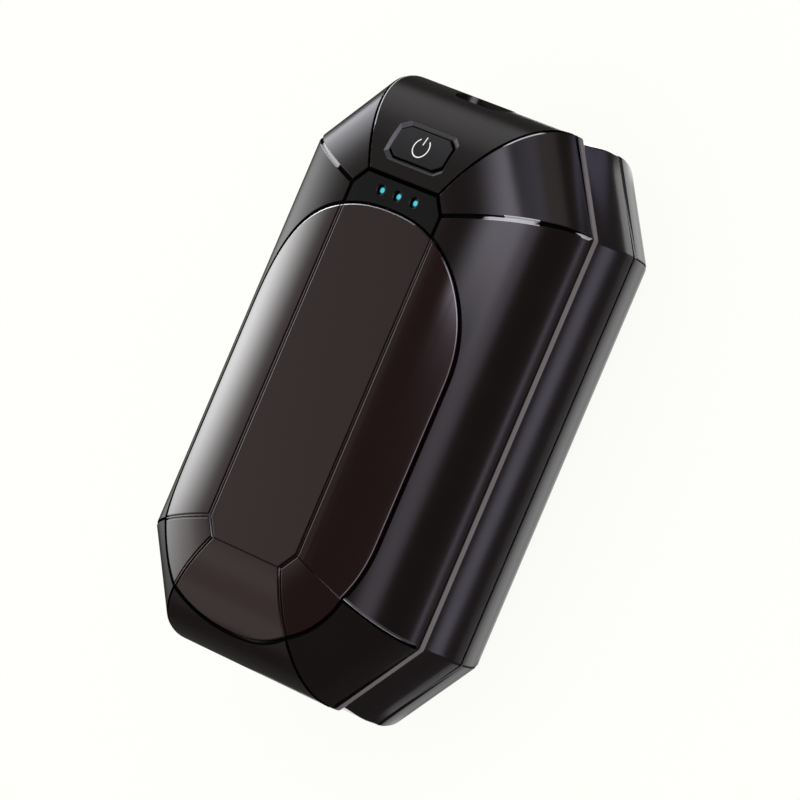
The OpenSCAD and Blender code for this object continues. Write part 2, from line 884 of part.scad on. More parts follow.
inductor_size = 6.2;
inductor_height = 3;
inductor_x = 13.4;
chip_size = 5;
chip_height = 0.9;
charger_size = 3.6;
charger_height = 0.8;
charger_x = 7;
capacitor_length = 2;
capacitor_width = 1.25;
capacitor_height = 1.1;

module power_inductor() {
    color("#6b6e72") box_at(inductor_x, button_y, board_top_z,
        [inductor_size, inductor_size, inductor_height]);
}

module control_chip() {
    color("#101012") box_at(-inductor_x, button_y, board_top_z,
        [chip_size, chip_size, chip_height]);
}

module charging_chip() {
    color("#101012") box_at(charger_x, button_y - switch_width / 2, board_top_z,
        [charger_size, charger_size, charger_height]);
}

module board_capacitors() {
    color("#b9976a") for (row = [0 : 3])
        box_at(-charger_x, button_y + (row - 2) * 1.6 * capacitor_width, board_top_z,
            [capacitor_length, capacitor_width, capacitor_height]);
}

// A tube swept along a path; side is square to the path's plane
module wire(points, radius, side) {
    path = smooth_path(points);
    last = len(path) - 1;
    rings = [
        for (i = [0 : last])
            let (
                along = unit(path[min(i + 1, last)] - path[max(i - 1, 0)]),
                across = unit(cross(along, side)),
                up = cross(across, along)
            )
            for (j = [0 : wire_sides - 1])
                let (turn = 360 * j / wire_sides)
                path[i] + radius * (cos(turn) * across + sin(turn) * up)
    ];
    walls = [
        for (i = [0 : last - 1], j = [0 : wire_sides - 1])
            let (
                here = i * wire_sides + j,
                next = i * wire_sides + (j + 1) % wire_sides
            )
            each [[here, next, next + wire_sides], [here, next + wire_sides, here + wire_sides]]
    ];
    first_cap = [for (j = [1 : wire_sides - 2]) [0, j + 1, j]];
    last_cap = [for (j = [1 : wire_sides - 2])
        [last * wire_sides, last * wire_sides + j, last * wire_sides + j + 1]];
    polyhedron(points = rings, faces = concat(walls, first_cap, last_cap));
}

// Height of a lead that lies on the board, and the place of a strip's outer face
lead_on_board_z = board_top_z + lead_radius + light_clearance;
strip_lead_y = cell_high_y + strip_thickness + lead_radius + light_clearance;
lead_bend = 2.2 * lead_radius;
red_tab_x = -9;
black_tab_x = 0;
rear_lead_x = 6;
red_pad_x = -12;
front_lead_x = -16.5;
black_pad_x = 11;
sensor_pad_x = 12.6;
lead_pad_y = board_low_y + 2 * lead_bend;
valley_z = tray_top_z + lead_radius + light_clearance;
inner_flat_z = top_z - plate_thickness - film_thickness - pad_thickness;

module battery_lead_red() {
    color("#b3261e") wire([
        [red_tab_x, strip_lead_y, tray_top_z + lead_radius],
        [red_tab_x, strip_lead_y, board_low_z],
        [(red_tab_x + red_pad_x) / 2, strip_lead_y + lead_radius, lead_on_board_z - lead_radius / 2],
        [red_pad_x, lead_pad_y - lead_radius, lead_on_board_z + lead_radius / 2],
        [red_pad_x, lead_pad_y + lead_bend, lead_on_board_z]
    ], lead_radius, [1, 0, 0]);
}

module battery_lead_black() {
    low_y = cell_low_y + lead_radius;
    color("#151515") wire([
        [black_tab_x, low_y, valley_z],
        [black_tab_x, (low_y + cell_high_y) / 2, valley_z],
        [black_tab_x, strip_lead_y - lead_radius, valley_z + lead_radius / 2],
        [black_pad_x / 4, strip_lead_y, board_low_z],
        [black_pad_x / 2, strip_lead_y + lead_radius, lead_on_board_z],
        [black_pad_x, lead_pad_y + lead_bend, lead_on_board_z]
    ], lead_radius, [0, 0, 1]);
}

module front_heater_lead() {
    tail_y = film_high_y - film_corner;
    color("#d8d4c8") wire([
        [front_lead_x / 3, tail_y, inner_flat_z - lead_radius],
        [front_lead_x / 2, tail_y + 2 * lead_bend, inner_flat_z - 2 * lead_bend],
        [0.85 * front_lead_x, lead_pad_y, (inner_flat_z + board_top_z) / 2],
        [front_lead_x, button_y - 2 * lead_bend, lead_on_board_z + lead_bend],
        [front_lead_x, button_y, lead_on_board_z]
    ], lead_radius, [1, 0, 0]);
}

module rear_heater_lead() {
    tail_y = film_high_y - film_corner;
    low_z = rear_rim_z - pad_high_z(rear_dome_height) + pad_thickness + lead_radius;
    color("#d8d4c8") wire([
        [rear_lead_x, tail_y - film_corner, low_z + light_clearance],
        [rear_lead_x, tail_y + 2 * film_corner, low_z + lead_bend],
        [rear_lead_x, lower_post_y, (low_z + ear_low_z) / 2],
        [rear_lead_x, lower_post_y, boss_low_z],
        [rear_lead_x, lower_post_y, board_low_z - light_clearance]
    ], lead_radius, [1, 0, 0]);
}

// Bead in the pad's hole, bonded to the film, with its pair of leads as one tube
module temperature_sensor() {
    pad_z = front_rim_z + pad_high_z(front_dome_height);
    color("#7a4a24") {
        translate([sensor_x, sensor_y, pad_z - pad_thickness - sensor_radius])
            cylinder(r = sensor_radius, h = pad_thickness + sensor_radius);
        wire([
            [sensor_x, sensor_y, inner_flat_z - sensor_radius / 2],
            [sensor_x + lead_bend, sensor_y + 2 * lead_bend, inner_flat_z - 2 * lead_bend],
            [0.85 * sensor_pad_x, lead_pad_y, (inner_flat_z + board_top_z) / 2],
            [sensor_pad_x, button_y - inductor_size, board_top_z + lead_bend],
            [sensor_pad_x, button_y - inductor_size + 2 * lead_bend, board_top_z + sensor_lead_radius]
        ], sensor_lead_radius, [1, 0, 0]);
    }
}

// A screw with its head's seat at height zero and its shank upwards
module screw(diameter, length, head_radius, head_height) {
    difference() {
        union() {
            cylinder(d = diameter, h = length);
            translate([0, 0, -head_height]) cylinder(r = head_radius, h = head_height);
        }
        for (turn = [0, 90]) rotate([0, 0, turn])
            box_at(0, 0, -head_height - overrun,
                [1.2 * head_radius, driver_slot_width, overrun + driver_slot_depth]);
    }
}

module case_screws() {
    color("#8c8f94") at_screws() translate([0, 0, tab_low_z])
        screw(case_screw_diameter, case_screw_length, case_screw_head_radius,
            case_screw_head_height);
}

module board_screws() {
    color("#8c8f94") at_posts() translate([0, 0, board_top_z]) mirror([0, 0, 1])
        screw(board_screw_diameter, board_screw_length, board_screw_head_radius,
            board_screw_head_height);
}

front_cover();
rear_cover();
mid_frame();
front_heat_plate();
rear_heat_plate();
front_heating_film();
rear_heating_film();
front_insulation_pad();
rear_insulation_pad();
indicator_window();
light_pipe(-1);  // light_pipe_left
light_pipe(0);  // light_pipe_middle
light_pipe(1);  // light_pipe_right
light_shroud();
indicator_led(-1);  // indicator_led_left
indicator_led(0);  // indicator_led_middle
indicator_led(1);  // indicator_led_right
power_button();
power_symbol();
switch_body();
switch_top_plate();
switch_plunger();
usb_port_shell();
usb_port_tongue();
battery_tray();
battery_cell(-cell_spacing / 2);  // battery_cell_left
battery_cell(cell_spacing / 2);  // battery_cell_right
nickel_strip(cell_high_y, red_tab_x);  // nickel_strip_positive
nickel_strip(cell_low_y - strip_thickness, black_tab_x);  // nickel_strip_negative
control_board();
power_inductor();
control_chip();
charging_chip();
board_capacitors();
temperature_sensor();
battery_lead_red();
battery_lead_black();
front_heater_lead();
rear_heater_lead();
case_screws();
board_screws();
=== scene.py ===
import json
import math

import bpy
import numpy as np
from mathutils import Matrix, Vector
from mathutils.geometry import delaunay_2d_cdt


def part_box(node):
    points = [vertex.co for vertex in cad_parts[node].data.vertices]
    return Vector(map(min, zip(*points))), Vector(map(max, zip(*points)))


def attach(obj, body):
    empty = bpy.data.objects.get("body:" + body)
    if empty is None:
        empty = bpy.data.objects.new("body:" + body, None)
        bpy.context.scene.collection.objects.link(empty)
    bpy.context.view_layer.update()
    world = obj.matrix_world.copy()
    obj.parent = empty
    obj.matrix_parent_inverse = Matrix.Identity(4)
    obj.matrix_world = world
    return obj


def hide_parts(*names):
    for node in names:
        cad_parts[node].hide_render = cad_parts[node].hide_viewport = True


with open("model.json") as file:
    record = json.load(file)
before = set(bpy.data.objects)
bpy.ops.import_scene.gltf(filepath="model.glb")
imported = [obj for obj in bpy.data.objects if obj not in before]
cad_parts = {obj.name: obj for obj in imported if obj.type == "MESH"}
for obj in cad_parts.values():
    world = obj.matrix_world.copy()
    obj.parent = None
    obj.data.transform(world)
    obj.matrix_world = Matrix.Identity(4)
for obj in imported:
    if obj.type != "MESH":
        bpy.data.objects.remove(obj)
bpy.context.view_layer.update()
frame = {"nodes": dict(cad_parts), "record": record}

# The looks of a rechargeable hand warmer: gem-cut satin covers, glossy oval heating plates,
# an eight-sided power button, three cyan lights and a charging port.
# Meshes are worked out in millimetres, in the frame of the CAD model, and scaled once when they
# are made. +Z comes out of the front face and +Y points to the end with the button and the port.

METRES = 0.001


def box_mm(node):
    """The low and high corners of a CAD node's box."""
    low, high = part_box(node)
    return np.array(low) / METRES, np.array(high) / METRES


def new_object(name, data):
    """An object in the scene."""
    made = bpy.data.objects.new(name, data)
    bpy.context.scene.collection.objects.link(made)
    return made


# Main sizes of the case, from the frame
band_low, band_high = box_mm("mid_frame")
HALF_WIDTH, HALF_LENGTH, TOP_Z = box_mm("front_cover")[1]
SEAM = 0.25                # the open line between the band and each cover
FRONT_RIM_Z = band_high[2] + SEAM
REAR_RIM_Z = band_low[2] - SEAM
FRONT_HEIGHT = TOP_Z - FRONT_RIM_Z
REAR_HEIGHT = REAR_RIM_Z
CORNER_CUT = (11.2, 13.9)
# The table is the flat on top of the dome, named as on a cut gem
TABLE_HALF = (10.2, HALF_LENGTH - 16.9)
TABLE_CUT = (2.3, 2.3 * CORNER_CUT[1] / CORNER_CUT[0])
FULLNESS_OUT = 2.24
FULLNESS_UP = 2.2
DOME_ROWS = 22

# The band: its plain lip, its waist, the bend of its edges and the wall that its seams show
LIP_HEIGHT = 1.5
WAIST_DEPTH = 0.8
WAIST_TOP = 20.3
WAIST_LOW = 13
BAND_BEND = 0.12
BEND_MIDDLE = 0.3 * BAND_BEND
BAND_WALL = 1.2
BAND_CORNER = 1
BAND_ROWS = 24
CORNER_STEPS = 6

# Grooves and edges
EDGE_RADIUS = 0.12
PLATE_EDGE_RADIUS = 0.22
FINE_GROOVE = 0.35
WIDE_GROOVE = 0.7
GROOVE_DEPTH = 0.4
WALL_LEAN = 0.02
# How near a line a point counts as on it, the least share that is on the rim, and how far a straight
# piece's middle may lie off its curve
ON_LINE = 0.001
ON_RIM = 0.9999
OFF_CURVE = 0.01
# Distances from a groove's middle: the reach of its floor painted in shade, the near side of a wide
# groove's painted highlight lines, and the far side of those of a wide groove, a fine one and the greyer
# fine one
SHADE_LINE = 0.26
HIGHLIGHT_NEAR = 0.16
WIDE_HIGHLIGHT_FAR = 0.46
FINE_HIGHLIGHT_FAR = 0.42
GREY_HIGHLIGHT_FAR = 0.6

# The oval plates
OVAL_HALF_WIDTH = 22.4
OVAL_LOW_Y = 4.25 - HALF_LENGTH
OVAL_HIGH_Y = TABLE_HALF[1] - 4.75
OVAL_MIDDLE_Y = (OVAL_LOW_Y + OVAL_HIGH_Y) / 2
OVAL_STRAIGHT = (OVAL_HIGH_Y - OVAL_LOW_Y) / 2 - OVAL_HALF_WIDTH
OVAL_FULLNESS = 2.3
OVAL_STEPS = 72
PLATE_GAP = 0.3
PLATE_THICKNESS = 1.2
LEDGE_SHOWN = 0.6
# A plate's rolled edge shows as bright aluminium left of this x and above this y: a painted highlight
EDGE_HIGHLIGHT_FROM = (6, 6)

# The controls
WINDOW_GAP = 0.4
WINDOW_THICKNESS = 1
LIGHT_SPACING = 3.76
LIGHT_Y = TABLE_HALF[1] - 2.5
LIGHT_HOLE_RADIUS = 0.85
LIGHT_PIPE_RADIUS = 0.75
LIGHT_CORE_RADIUS = 0.43
LIGHT_SINK = 0.45
LIGHT_STEPS = 32
# The rounding of a light pipe's top: shares of its radius, and how far down they stand
LIGHT_ROUNDING = [(0.85, 0.03), (0.96, 0.1), (1, 0.2)]
BUTTON_HALF = (5.95, 2.8)
BUTTON_CUT = (1.55, 1.05)
BUTTON_Y = TABLE_HALF[1] + 5.8
BUTTON_GAP = 0.2
BUTTON_FRAME = 0.5
BUTTON_FRAME_DEPTH = 0.42
BUTTON_TRIM = 0.13
BUTTON_SINK = 0.15
BUTTON_WALL = 1.2
SYMBOL_RADIUS = 1.6
SYMBOL_LINE = 0.2
SYMBOL_GAP = 0.95
SYMBOL_STEM = (0.5, 1.9)
SYMBOL_PROUD = 0.02
SYMBOL_STEPS = 64

# The sunk mouth of the port
PORT_Z = FRONT_RIM_Z + 3.7
MOUTH_SIZE = (11.4, 5)
MOUTH_STEPS = 20
PORT_SIZE = (8.94, 3.26)
PORT_CLEARANCE = 0.13
PORT_SINK = 0.1
MOUTH_FLOOR_Y = box_mm("usb_port_shell")[1][1] + PORT_SINK
PORT_DEPTH = 6


def eight_sides(half, cut):
    """Corners of a rectangle with cut corners, clockwise from the top edge's right end."""
    wide, high = half
    x, y = wide - cut[0], high - cut[1]
    return np.array([(x, high), (wide, y), (wide, -y), (x, -high),
                     (-x, -high), (-wide, -y), (-wide, y), (-x, high)])


RIM = eight_sides((HALF_WIDTH, HALF_LENGTH), CORNER_CUT)
TABLE = eight_sides(TABLE_HALF, TABLE_CUT)


def side_lines(outline):
    """Unit normals that point out of a convex outline's sides, and each side's reach along its own."""
    ahead = np.roll(outline, -1, axis=0) - outline
    normals = np.stack([ahead[:, 1], -ahead[:, 0]], axis=1) / np.linalg.norm(ahead, axis=1)[:, None]
    middle = outline.mean(axis=0)
    facing = np.sign(((outline - middle) * normals).sum(axis=1))
    normals = normals * facing[:, None]
    return normals, (outline * normals).sum(axis=1)


def inset_outline(outline, insets):
    """A convex outline with each side moved in by its own inset."""
    normals, reaches = side_lines(outline)
    reaches = reaches - insets
    corners = []
    for k in range(len(outline)):
        pair = np.stack([normals[k - 1], normals[k]])
        corners.append(np.linalg.solve(pair, [reaches[k - 1], reaches[k]]))
    return np.array(corners)


FACET_NORMALS, RIM_REACHES = side_lines(RIM)
TABLE_REACHES = side_lines(TABLE)[1]
FACET_LENGTHS = RIM_REACHES - TABLE_REACHES


def facet_shares(points):
    """How far each point is from the flat to the rim, measured on each of the eight facets."""
    return (points @ FACET_NORMALS.T - TABLE_REACHES) / FACET_LENGTHS


def dome_height(points, height):
    """How high a dome stands over its rim at each point."""
    share = np.clip(facet_shares(points).max(axis=1), 0, 1)
    return height * (1 - share ** FULLNESS_OUT) ** (1 / FULLNESS_UP)


def facet_normals(points, facets, height):
    """The smooth surface's normals at points that belong to the facets named by index."""
    share = facet_shares(points)[np.arange(len(points)), facets]
    share = np.clip(share, 0, 1 - 1e-7)
    steepness = (height * FULLNESS_OUT / FULLNESS_UP * share ** (FULLNESS_OUT - 1)
                 * (1 - share ** FULLNESS_OUT) ** (1 / FULLNESS_UP - 1)) / FACET_LENGTHS[facets]
    normals = np.column_stack([FACET_NORMALS[facets] * steepness[:, None], np.ones(len(points))])
    return normals / np.linalg.norm(normals, axis=1)[:, None]


def oval(inset):
    """The oval outline, with fuller ends than half circles."""
    radius = OVAL_HALF_WIDTH - inset
    points = []
    for end in (1, -1):
        for i in range(OVAL_STEPS + 1):
            turn = math.pi * i / OVAL_STEPS
            across = math.copysign(abs(math.cos(turn)) ** (2 / OVAL_FULLNESS), math.cos(turn))
            along = abs(math.sin(turn)) ** (2 / OVAL_FULLNESS)
            points.append((end * radius * across,
                           end * (OVAL_STRAIGHT + radius * along) + OVAL_MIDDLE_Y))
    return np.array(points)


def in_oval(points, inset):
    """Whether points lie inside the oval, moved in by an inset."""
    radius = OVAL_HALF_WIDTH - inset
    across = np.abs(points[:, 0]) / radius
    along = np.clip(np.abs(points[:, 1] - OVAL_MIDDLE_Y) - OVAL_STRAIGHT, 0, None) / radius
    return across ** OVAL_FULLNESS + along ** OVAL_FULLNESS < 1


def in_outline(points, outline):
    """Whether points lie inside a convex outline."""
    normals, reaches = side_lines(outline)
    return (points @ normals.T < reaches).all(axis=1)


def distance_to_loop(points, loop):
    """Distance from each point to a closed run of straight pieces."""
    nearest = np.full(len(points), np.inf)
    for start, end in zip(loop, np.roll(loop, -1, axis=0)):
        run = end - start
        length = run @ run
        if length < 1e-12:
            continue
        share = np.clip((points - start) @ run / length, 0, 1)
        gap = np.linalg.norm(points - start - share[:, None] * run, axis=1)
        nearest = np.minimum(nearest, gap)
    return nearest


# Cross sections of grooves and edges: rows of a distance from the middle line and the depth under the
# surface there
def rolled(start, depth_there, radius=EDGE_RADIUS):
    """A rounded edge that ends a wall at a distance from the middle line."""
    rows = [(start + radius * (1 - math.sin(math.radians(turn))),
             radius * (1 - math.cos(math.radians(turn)))) for turn in (90, 60, 30, 0)]
    foot = [(0, depth_there), (start - WALL_LEAN, depth_there)] if start else []
    return foot + rows


EDGE = rolled(0, 0)
PLATE_EDGE = rolled(0, 0, PLATE_EDGE_RADIUS)
FINE = rolled(FINE_GROOVE / 2, GROOVE_DEPTH)
FINE_PALE = FINE + [(FINE_HIGHLIGHT_FAR, 0)]
FINE_GREY = FINE + [(GREY_HIGHLIGHT_FAR, 0)]
WIDE = [(0, GROOVE_DEPTH), (HIGHLIGHT_NEAR, GROOVE_DEPTH)] + rolled(WIDE_GROOVE / 2, GROOVE_DEPTH)[1:]
# Half of the twin lines with their ridge, a single fine line, and no line
DOUBLE = [(0, 0), (0.08, 0.012), (0.12, 0.06), (0.14, 0.34), (0.34, 0.34), (0.37, 0.08), (0.41, 0.02),
          (0.5, 0)]
SINGLE = [(0, 0.06), (0.04, 0.1), (0.12, 0)]
NONE = [(0, 0), (0.01, 0)]


class Panel:
    """One flat or facet of a dome, with a cross section along each side of its outline."""

    def __init__(self, outline, sections):
        self.outline = outline
        self.sections = sections
        self.normals, self.reaches = side_lines(outline)

    def loops(self):
        """The outline, and the lines at each distance that its sections name."""
        most = max(len(section) for section in self.sections)
        found = []
        for row in range(most):
            insets = [section[min(row, len(section) - 1)][0] for section in self.sections]
            found.append(inset_outline(self.outline, insets))
        return found

    def contains(self, points):
        return (points @ self.normals.T <= self.reaches + 1e-7).all(axis=1)

    def depth(self, points):
        depth = np.zeros(len(points))
        for normal, reach, section in zip(self.normals, self.reaches, self.sections):
            distances, depths = zip(*section)
            gap = reach - points @ normal
            depth = np.maximum(depth, np.interp(gap, distances, depths))
        return depth


def facet_panels(hips, table_edges):
    """The eight facets, clockwise from the one beside the top end's right; each hip and each edge of
    the flat has its cross section."""
    panels = []
    for k in range(8):
        after = (k + 1) % 8
        outline = np.array([TABLE[k], RIM[k], RIM[after], TABLE[after]])
        panels.append(Panel(outline, [hips[k], NONE, hips[after], table_edges[k]]))
    return panels


def dome_rows():
    """Outlines across all facets, closer together where they curve most."""
    rows = []
    for i in range(DOME_ROWS + 1):
        share = math.sin(math.pi / 2 * i / DOME_ROWS) ** (2 / FULLNESS_OUT)
        rows.append(TABLE + (RIM - TABLE) * share)
    return rows


def facet_loops(panels):
    """The dome's rows, and every line of its panels."""
    return dome_rows() + [loop for panel in panels for loop in panel.loops()]


def seat_loops():
    """The lines of the rounded edge round a plate's oval seat."""
    return [oval(-reach) for reach, depth in EDGE]


def seat_edge_depth(points):
    """How deep the rounded edge round the oval seat lies under the dome."""
    depth = np.interp(distance_to_loop(points, oval(0)), *zip(*EDGE))
    depth[in_oval(points, ON_LINE)] = EDGE_RADIUS
    return depth


def triangulate(loops):
    """Triangles between all the loops, which stay as edges."""
    corners, edges = [], []
    for loop in loops:
        first = len(corners)
        corners += [Vector(point) for point in loop]
        edges += [(first + i, first + (i + 1) % len(loop)) for i in range(len(loop))]
    found = delaunay_2d_cdt(corners, edges, [], 0, 1e-5)
    return np.array([tuple(v) for v in found[0]]), np.array(found[2])


class Shell:
    """Vertices, faces and corner normals of one piece, gathered from its surfaces and walls."""

    def __init__(self):
        self.points = []
        self.faces = []
        self.normals = []
        self.slots = []

    def add(self, points, faces, normals=None, slot=0):
        first = len(self.points)
        points = np.asarray(points, float)
        self.points += [tuple(point) for point in points]
        slots = np.broadcast_to(slot, len(faces))
        for i, face in enumerate(faces):
            self.faces.append([first + int(k) for k in face])
            self.slots.append(int(slots[i]))
            if normals is None:
                a, b, c, last = (points[face[k]] for k in (0, 1, 2, -1))
                flat = np.cross(c - a, last - b)
                size = np.linalg.norm(flat)
                flat = flat / size if size > 0 else np.array([0, 0, 1.0])
                self.normals += [tuple(flat)] * len(face)
            else:
                self.normals += [tuple(normal) for normal in normals[i]]

    def strip(self, near, far):
        """Adds the four-sided faces between two closed rows of points."""
        for k in range(len(near)):
            after = (k + 1) % len(near)
            self.add([near[k], near[after], far[after], far[k]], [(0, 1, 2, 3)])

    def place(self, matrix):
        """Moves everything, and turns the faces round where the matrix mirrors."""
        turn = np.array(matrix.to_3x3())
        self.points = [tuple(matrix @ Vector(point)) for point in self.points]
        self.normals = [tuple(turn @ np.array(normal)) for normal in self.normals]
        if matrix.determinant() < 0:
            turned, start = [], 0
            for i, face in enumerate(self.faces):
                self.faces[i] = face[::-1]
                turned += self.normals[start:start + len(face)][::-1]
                start += len(face)
            self.normals = turned

    def piece(self, name, *materials):
        """Makes the object, with its own corner normals and material slots."""
        mesh = bpy.data.meshes.new(name)
        scaled = [tuple(METRES * c for c in point) for point in self.points]
        mesh.from_pydata(scaled, [], self.faces)
        for material in materials:
            mesh.materials.append(material)
        for polygon, slot in zip(mesh.polygons, self.slots):
            polygon.material_index = slot
            polygon.use_smooth = True
        mesh.normals_split_custom_set(self.normals)
        return new_object(name, mesh)


# Two facets whose shares differ by less meet in a hip there, and a groove's wall is mitred
HIP_NEARNESS = 0.03


def no_depth(points):
    return np.zeros(len(points))


def edge_walls(shell, flat_points, points, triangles, walls):
    """Adds walls down from every open edge of a cut surface."""
    edges = {(int(face[k]), int(face[(k + 1) % 3])): True for face in triangles for k in range(3)}
    open_edges = [(start, end) for start, end in edges if (end, start) not in edges]
    away = {}
    for start, end in open_edges:
        run = flat_points[end] - flat_points[start]
        out = np.array([run[1], -run[0]])
        for vertex in (start, end):
            away[vertex] = away.get(vertex, 0) + out
    for start, end in open_edges:
        steps = walls((flat_points[start] + flat_points[end]) / 2)
        rows = [[], []]
        for row, vertex in zip(rows, (start, end)):
            out = away[vertex] / max(np.linalg.norm(away[vertex]), 1e-12)
            row.append(points[vertex])
            for reach, down in steps:
                row.append(points[vertex] + [reach * out[0], reach * out[1], -down])
        for k in range(len(steps)):
            shell.add([rows[0][k], rows[0][k + 1], rows[1][k + 1], rows[1][k]], [(0, 1, 2, 3)])


def dome_skin(height, loops, shown, panels, depth_of, walls, slot_of_face=None):
    """The shown part of a dome's surface, with its grooves cut in and walls round its openings.

    depth_of gives further depths, walls gives for a boundary edge's middle the steps (out, down) of
    its wall, out from the shown part, and slot_of_face the material slot of each face's middle."""
    flat_points, triangles = triangulate(loops)
    middles = flat_points[triangles].mean(axis=1)
    a, b, c = (flat_points[triangles[:, k]] for k in range(3))
    area = (b[:, 0] - a[:, 0]) * (c[:, 1] - a[:, 1]) - (b[:, 1] - a[:, 1]) * (c[:, 0] - a[:, 0])
    triangles = np.where((area < 0)[:, None], triangles[:, ::-1], triangles)
    keep = shown(middles) & (np.abs(area) > 1e-9)
    triangles, middles = triangles[keep], middles[keep]

    depths = depth_of(flat_points)
    for panel in panels:
        within = panel.contains(flat_points)
        depths[within] = np.maximum(depths[within], panel.depth(flat_points[within]))

    shares = facet_shares(flat_points)
    order = np.argsort(-shares, axis=1)
    first = facet_normals(flat_points, order[:, 0], height)
    second = facet_normals(flat_points, order[:, 1], height)
    ranked = np.take_along_axis(shares, order, axis=1)
    close = (np.abs(ranked[:, 0] - ranked[:, 1]) < HIP_NEARNESS) & (ranked[:, 0] > 0)
    mitred = (first + second) / (1 + (first * second).sum(axis=1))[:, None]
    inward = np.where((close & (depths > EDGE_RADIUS))[:, None], mitred, first)
    points = np.column_stack([flat_points, dome_height(flat_points, height)])
    points = points - inward * depths[:, None]

    facets = facet_shares(middles).argmax(axis=1)
    normals = np.stack([facet_normals(flat_points[triangles[:, k]], facets, height)
                        for k in range(3)], axis=1)
    corners = points[triangles]
    flat = np.cross(corners[:, 1] - corners[:, 0], corners[:, 2] - corners[:, 0])
    size = np.linalg.norm(flat, axis=1)
    flat = flat / np.where(size > 0, size, 1)[:, None]
    cut = (depths[triangles] > 1e-6).any(axis=1) & (size > 1e-9)
    normals[cut] = flat[cut][:, None, :]

    used, compact = np.unique(triangles, return_inverse=True)
    compact = compact.reshape(triangles.shape)
    shell = Shell()
    shell.add(points[used], compact, normals, slot_of_face(middles) if slot_of_face else 0)
    edge_walls(shell, flat_points, points, triangles, walls)
    return shell


ON_FRONT = Matrix.Translation((0, 0, FRONT_RIM_Z))
ON_REAR = Matrix.Translation((0, 0, REAR_RIM_Z)) @ Matrix.Scale(-1, 4, (0, 0, 1))


def octagon(inset):
    """The power button's outline, moved in by an inset, in its place."""
    half = (BUTTON_HALF[0] - inset, BUTTON_HALF[1] - inset)
    return eight_sides(half, BUTTON_CUT) + [0, BUTTON_Y]


def stadium(size, steps):
    """A port-shaped outline across X and Z."""
    radius = size[1] / 2
    straight = size[0] / 2 - radius
    points = []
    for side, first in ((1, -90), (-1, 90)):
        for i in range(steps + 1):
            turn = math.radians(first + 180 * i / steps)
            points.append((side * straight + radius * math.cos(turn), radius * math.sin(turn)))
    return np.array(points)


def end_facet_y(rise):
    """Where the top end's facet stands at heights above its rim."""
    share = (1 - (rise / FRONT_HEIGHT) ** FULLNESS_UP) ** (1 / FULLNESS_OUT)
    return TABLE_HALF[1] + (HALF_LENGTH - TABLE_HALF[1]) * share


def mouth_loop():
    """The outline of the port's mouth on the top end's facet, seen from above."""
    outline = stadium(MOUTH_SIZE, MOUTH_STEPS)
    return np.column_stack([outline[:, 0], end_facet_y(outline[:, 1] + PORT_Z - FRONT_RIM_Z)])


def in_loop(points, loop):
    """Whether points lie inside a closed loop of any shape."""
    inside = np.zeros(len(points), bool)
    for a, b in zip(loop, np.roll(loop, -1, axis=0)):
        if a[1] == b[1]:
            continue
        spans = (a[1] > points[:, 1]) != (b[1] > points[:, 1])
        at = a[0] + (points[:, 1] - a[1]) / (b[1] - a[1]) * (b[0] - a[0])
        inside ^= spans & (points[:, 0] < at)
    return inside


def cover_walls(middle):
    """The steps from a cover's edge: in under the rim, or down into the seat of the plate."""
    share = facet_shares(middle[None]).max()
    if share > ON_RIM:
        return [(-1, 0)]
    if in_oval(middle[None], -OFF_CURVE)[0]:
        return [(0, PLATE_THICKNESS), (LEDGE_SHOWN, PLATE_THICKNESS)]
    return [(0, PLATE_THICKNESS)] if abs(share) < ON_LINE else []


def hip_place(points, hip):
    """How far points are along a hip, from the flat's corner at 0 to the rim's at 1, and how far aside."""
    run = RIM[hip] - TABLE[hip]
    length = np.linalg.norm(run)
    offset = points - TABLE[hip]
    return offset @ run / length ** 2, (offset[:, 0] * run[1] - offset[:, 1] * run[0]) / length


# The front cover's material slots: its plastic, the frame's grey painted highlight, the pale painted
# highlights and painted shade
CASE, FRAME, PALE_HIGHLIGHT, SHADE_FILL = range(4)
# Stretches of the front cover's grooves with a painted highlight: hip, clockwise from the one right of the
# top end, first and last share along it, from where to where aside, and the slot
GROOVE_HIGHLIGHT_STRETCHES = [
    (0, 0.66, 0.9, 0.18, FINE_HIGHLIGHT_FAR, PALE_HIGHLIGHT),
    (1, 0.42, 0.56, -HIGHLIGHT_NEAR, WIDE_HIGHLIGHT_FAR, PALE_HIGHLIGHT),
    (1, 0.56, 0.8, -WIDE_HIGHLIGHT_FAR, WIDE_HIGHLIGHT_FAR, PALE_HIGHLIGHT),
    (1, 0.984, 1.01, -HIGHLIGHT_NEAR, WIDE_HIGHLIGHT_FAR, PALE_HIGHLIGHT),
    (2, 0.42, 0.99, -GREY_HIGHLIGHT_FAR, -0.16, FRAME),
    (2, 0.42, 0.66, -0.3, -0.2, PALE_HIGHLIGHT),
    (2, 0.66, 0.97, -0.24, -0.2, PALE_HIGHLIGHT),
    (6, 0.25, 0.68, -0.4, 0.4, PALE_HIGHLIGHT),
    (7, 0.36, 0.97, 0.18, FINE_HIGHLIGHT_FAR, PALE_HIGHLIGHT),
]
WIDE_HIPS = (1, 6)


def port_mouth(shell):
    """Adds the port's mouth: walls, a floor with the port's opening, and the opening's own walls."""
    outer = stadium(MOUTH_SIZE, MOUTH_STEPS)
    inner = stadium((PORT_SIZE[0] + 2 * PORT_CLEARANCE, PORT_SIZE[1] + 2 * PORT_CLEARANCE), MOUTH_STEPS)
    facet_y = end_facet_y(outer[:, 1] + PORT_Z - FRONT_RIM_Z)
    lines = [np.column_stack([outline[:, 0], np.broadcast_to(y, len(outline)), outline[:, 1] + PORT_Z])
             for outline, y in ((outer, facet_y), (outer, MOUTH_FLOOR_Y), (inner, MOUTH_FLOOR_Y),
                                (inner, MOUTH_FLOOR_Y - PORT_DEPTH))]
    for near, far in zip(lines, lines[1:]):
        shell.strip(near, far)


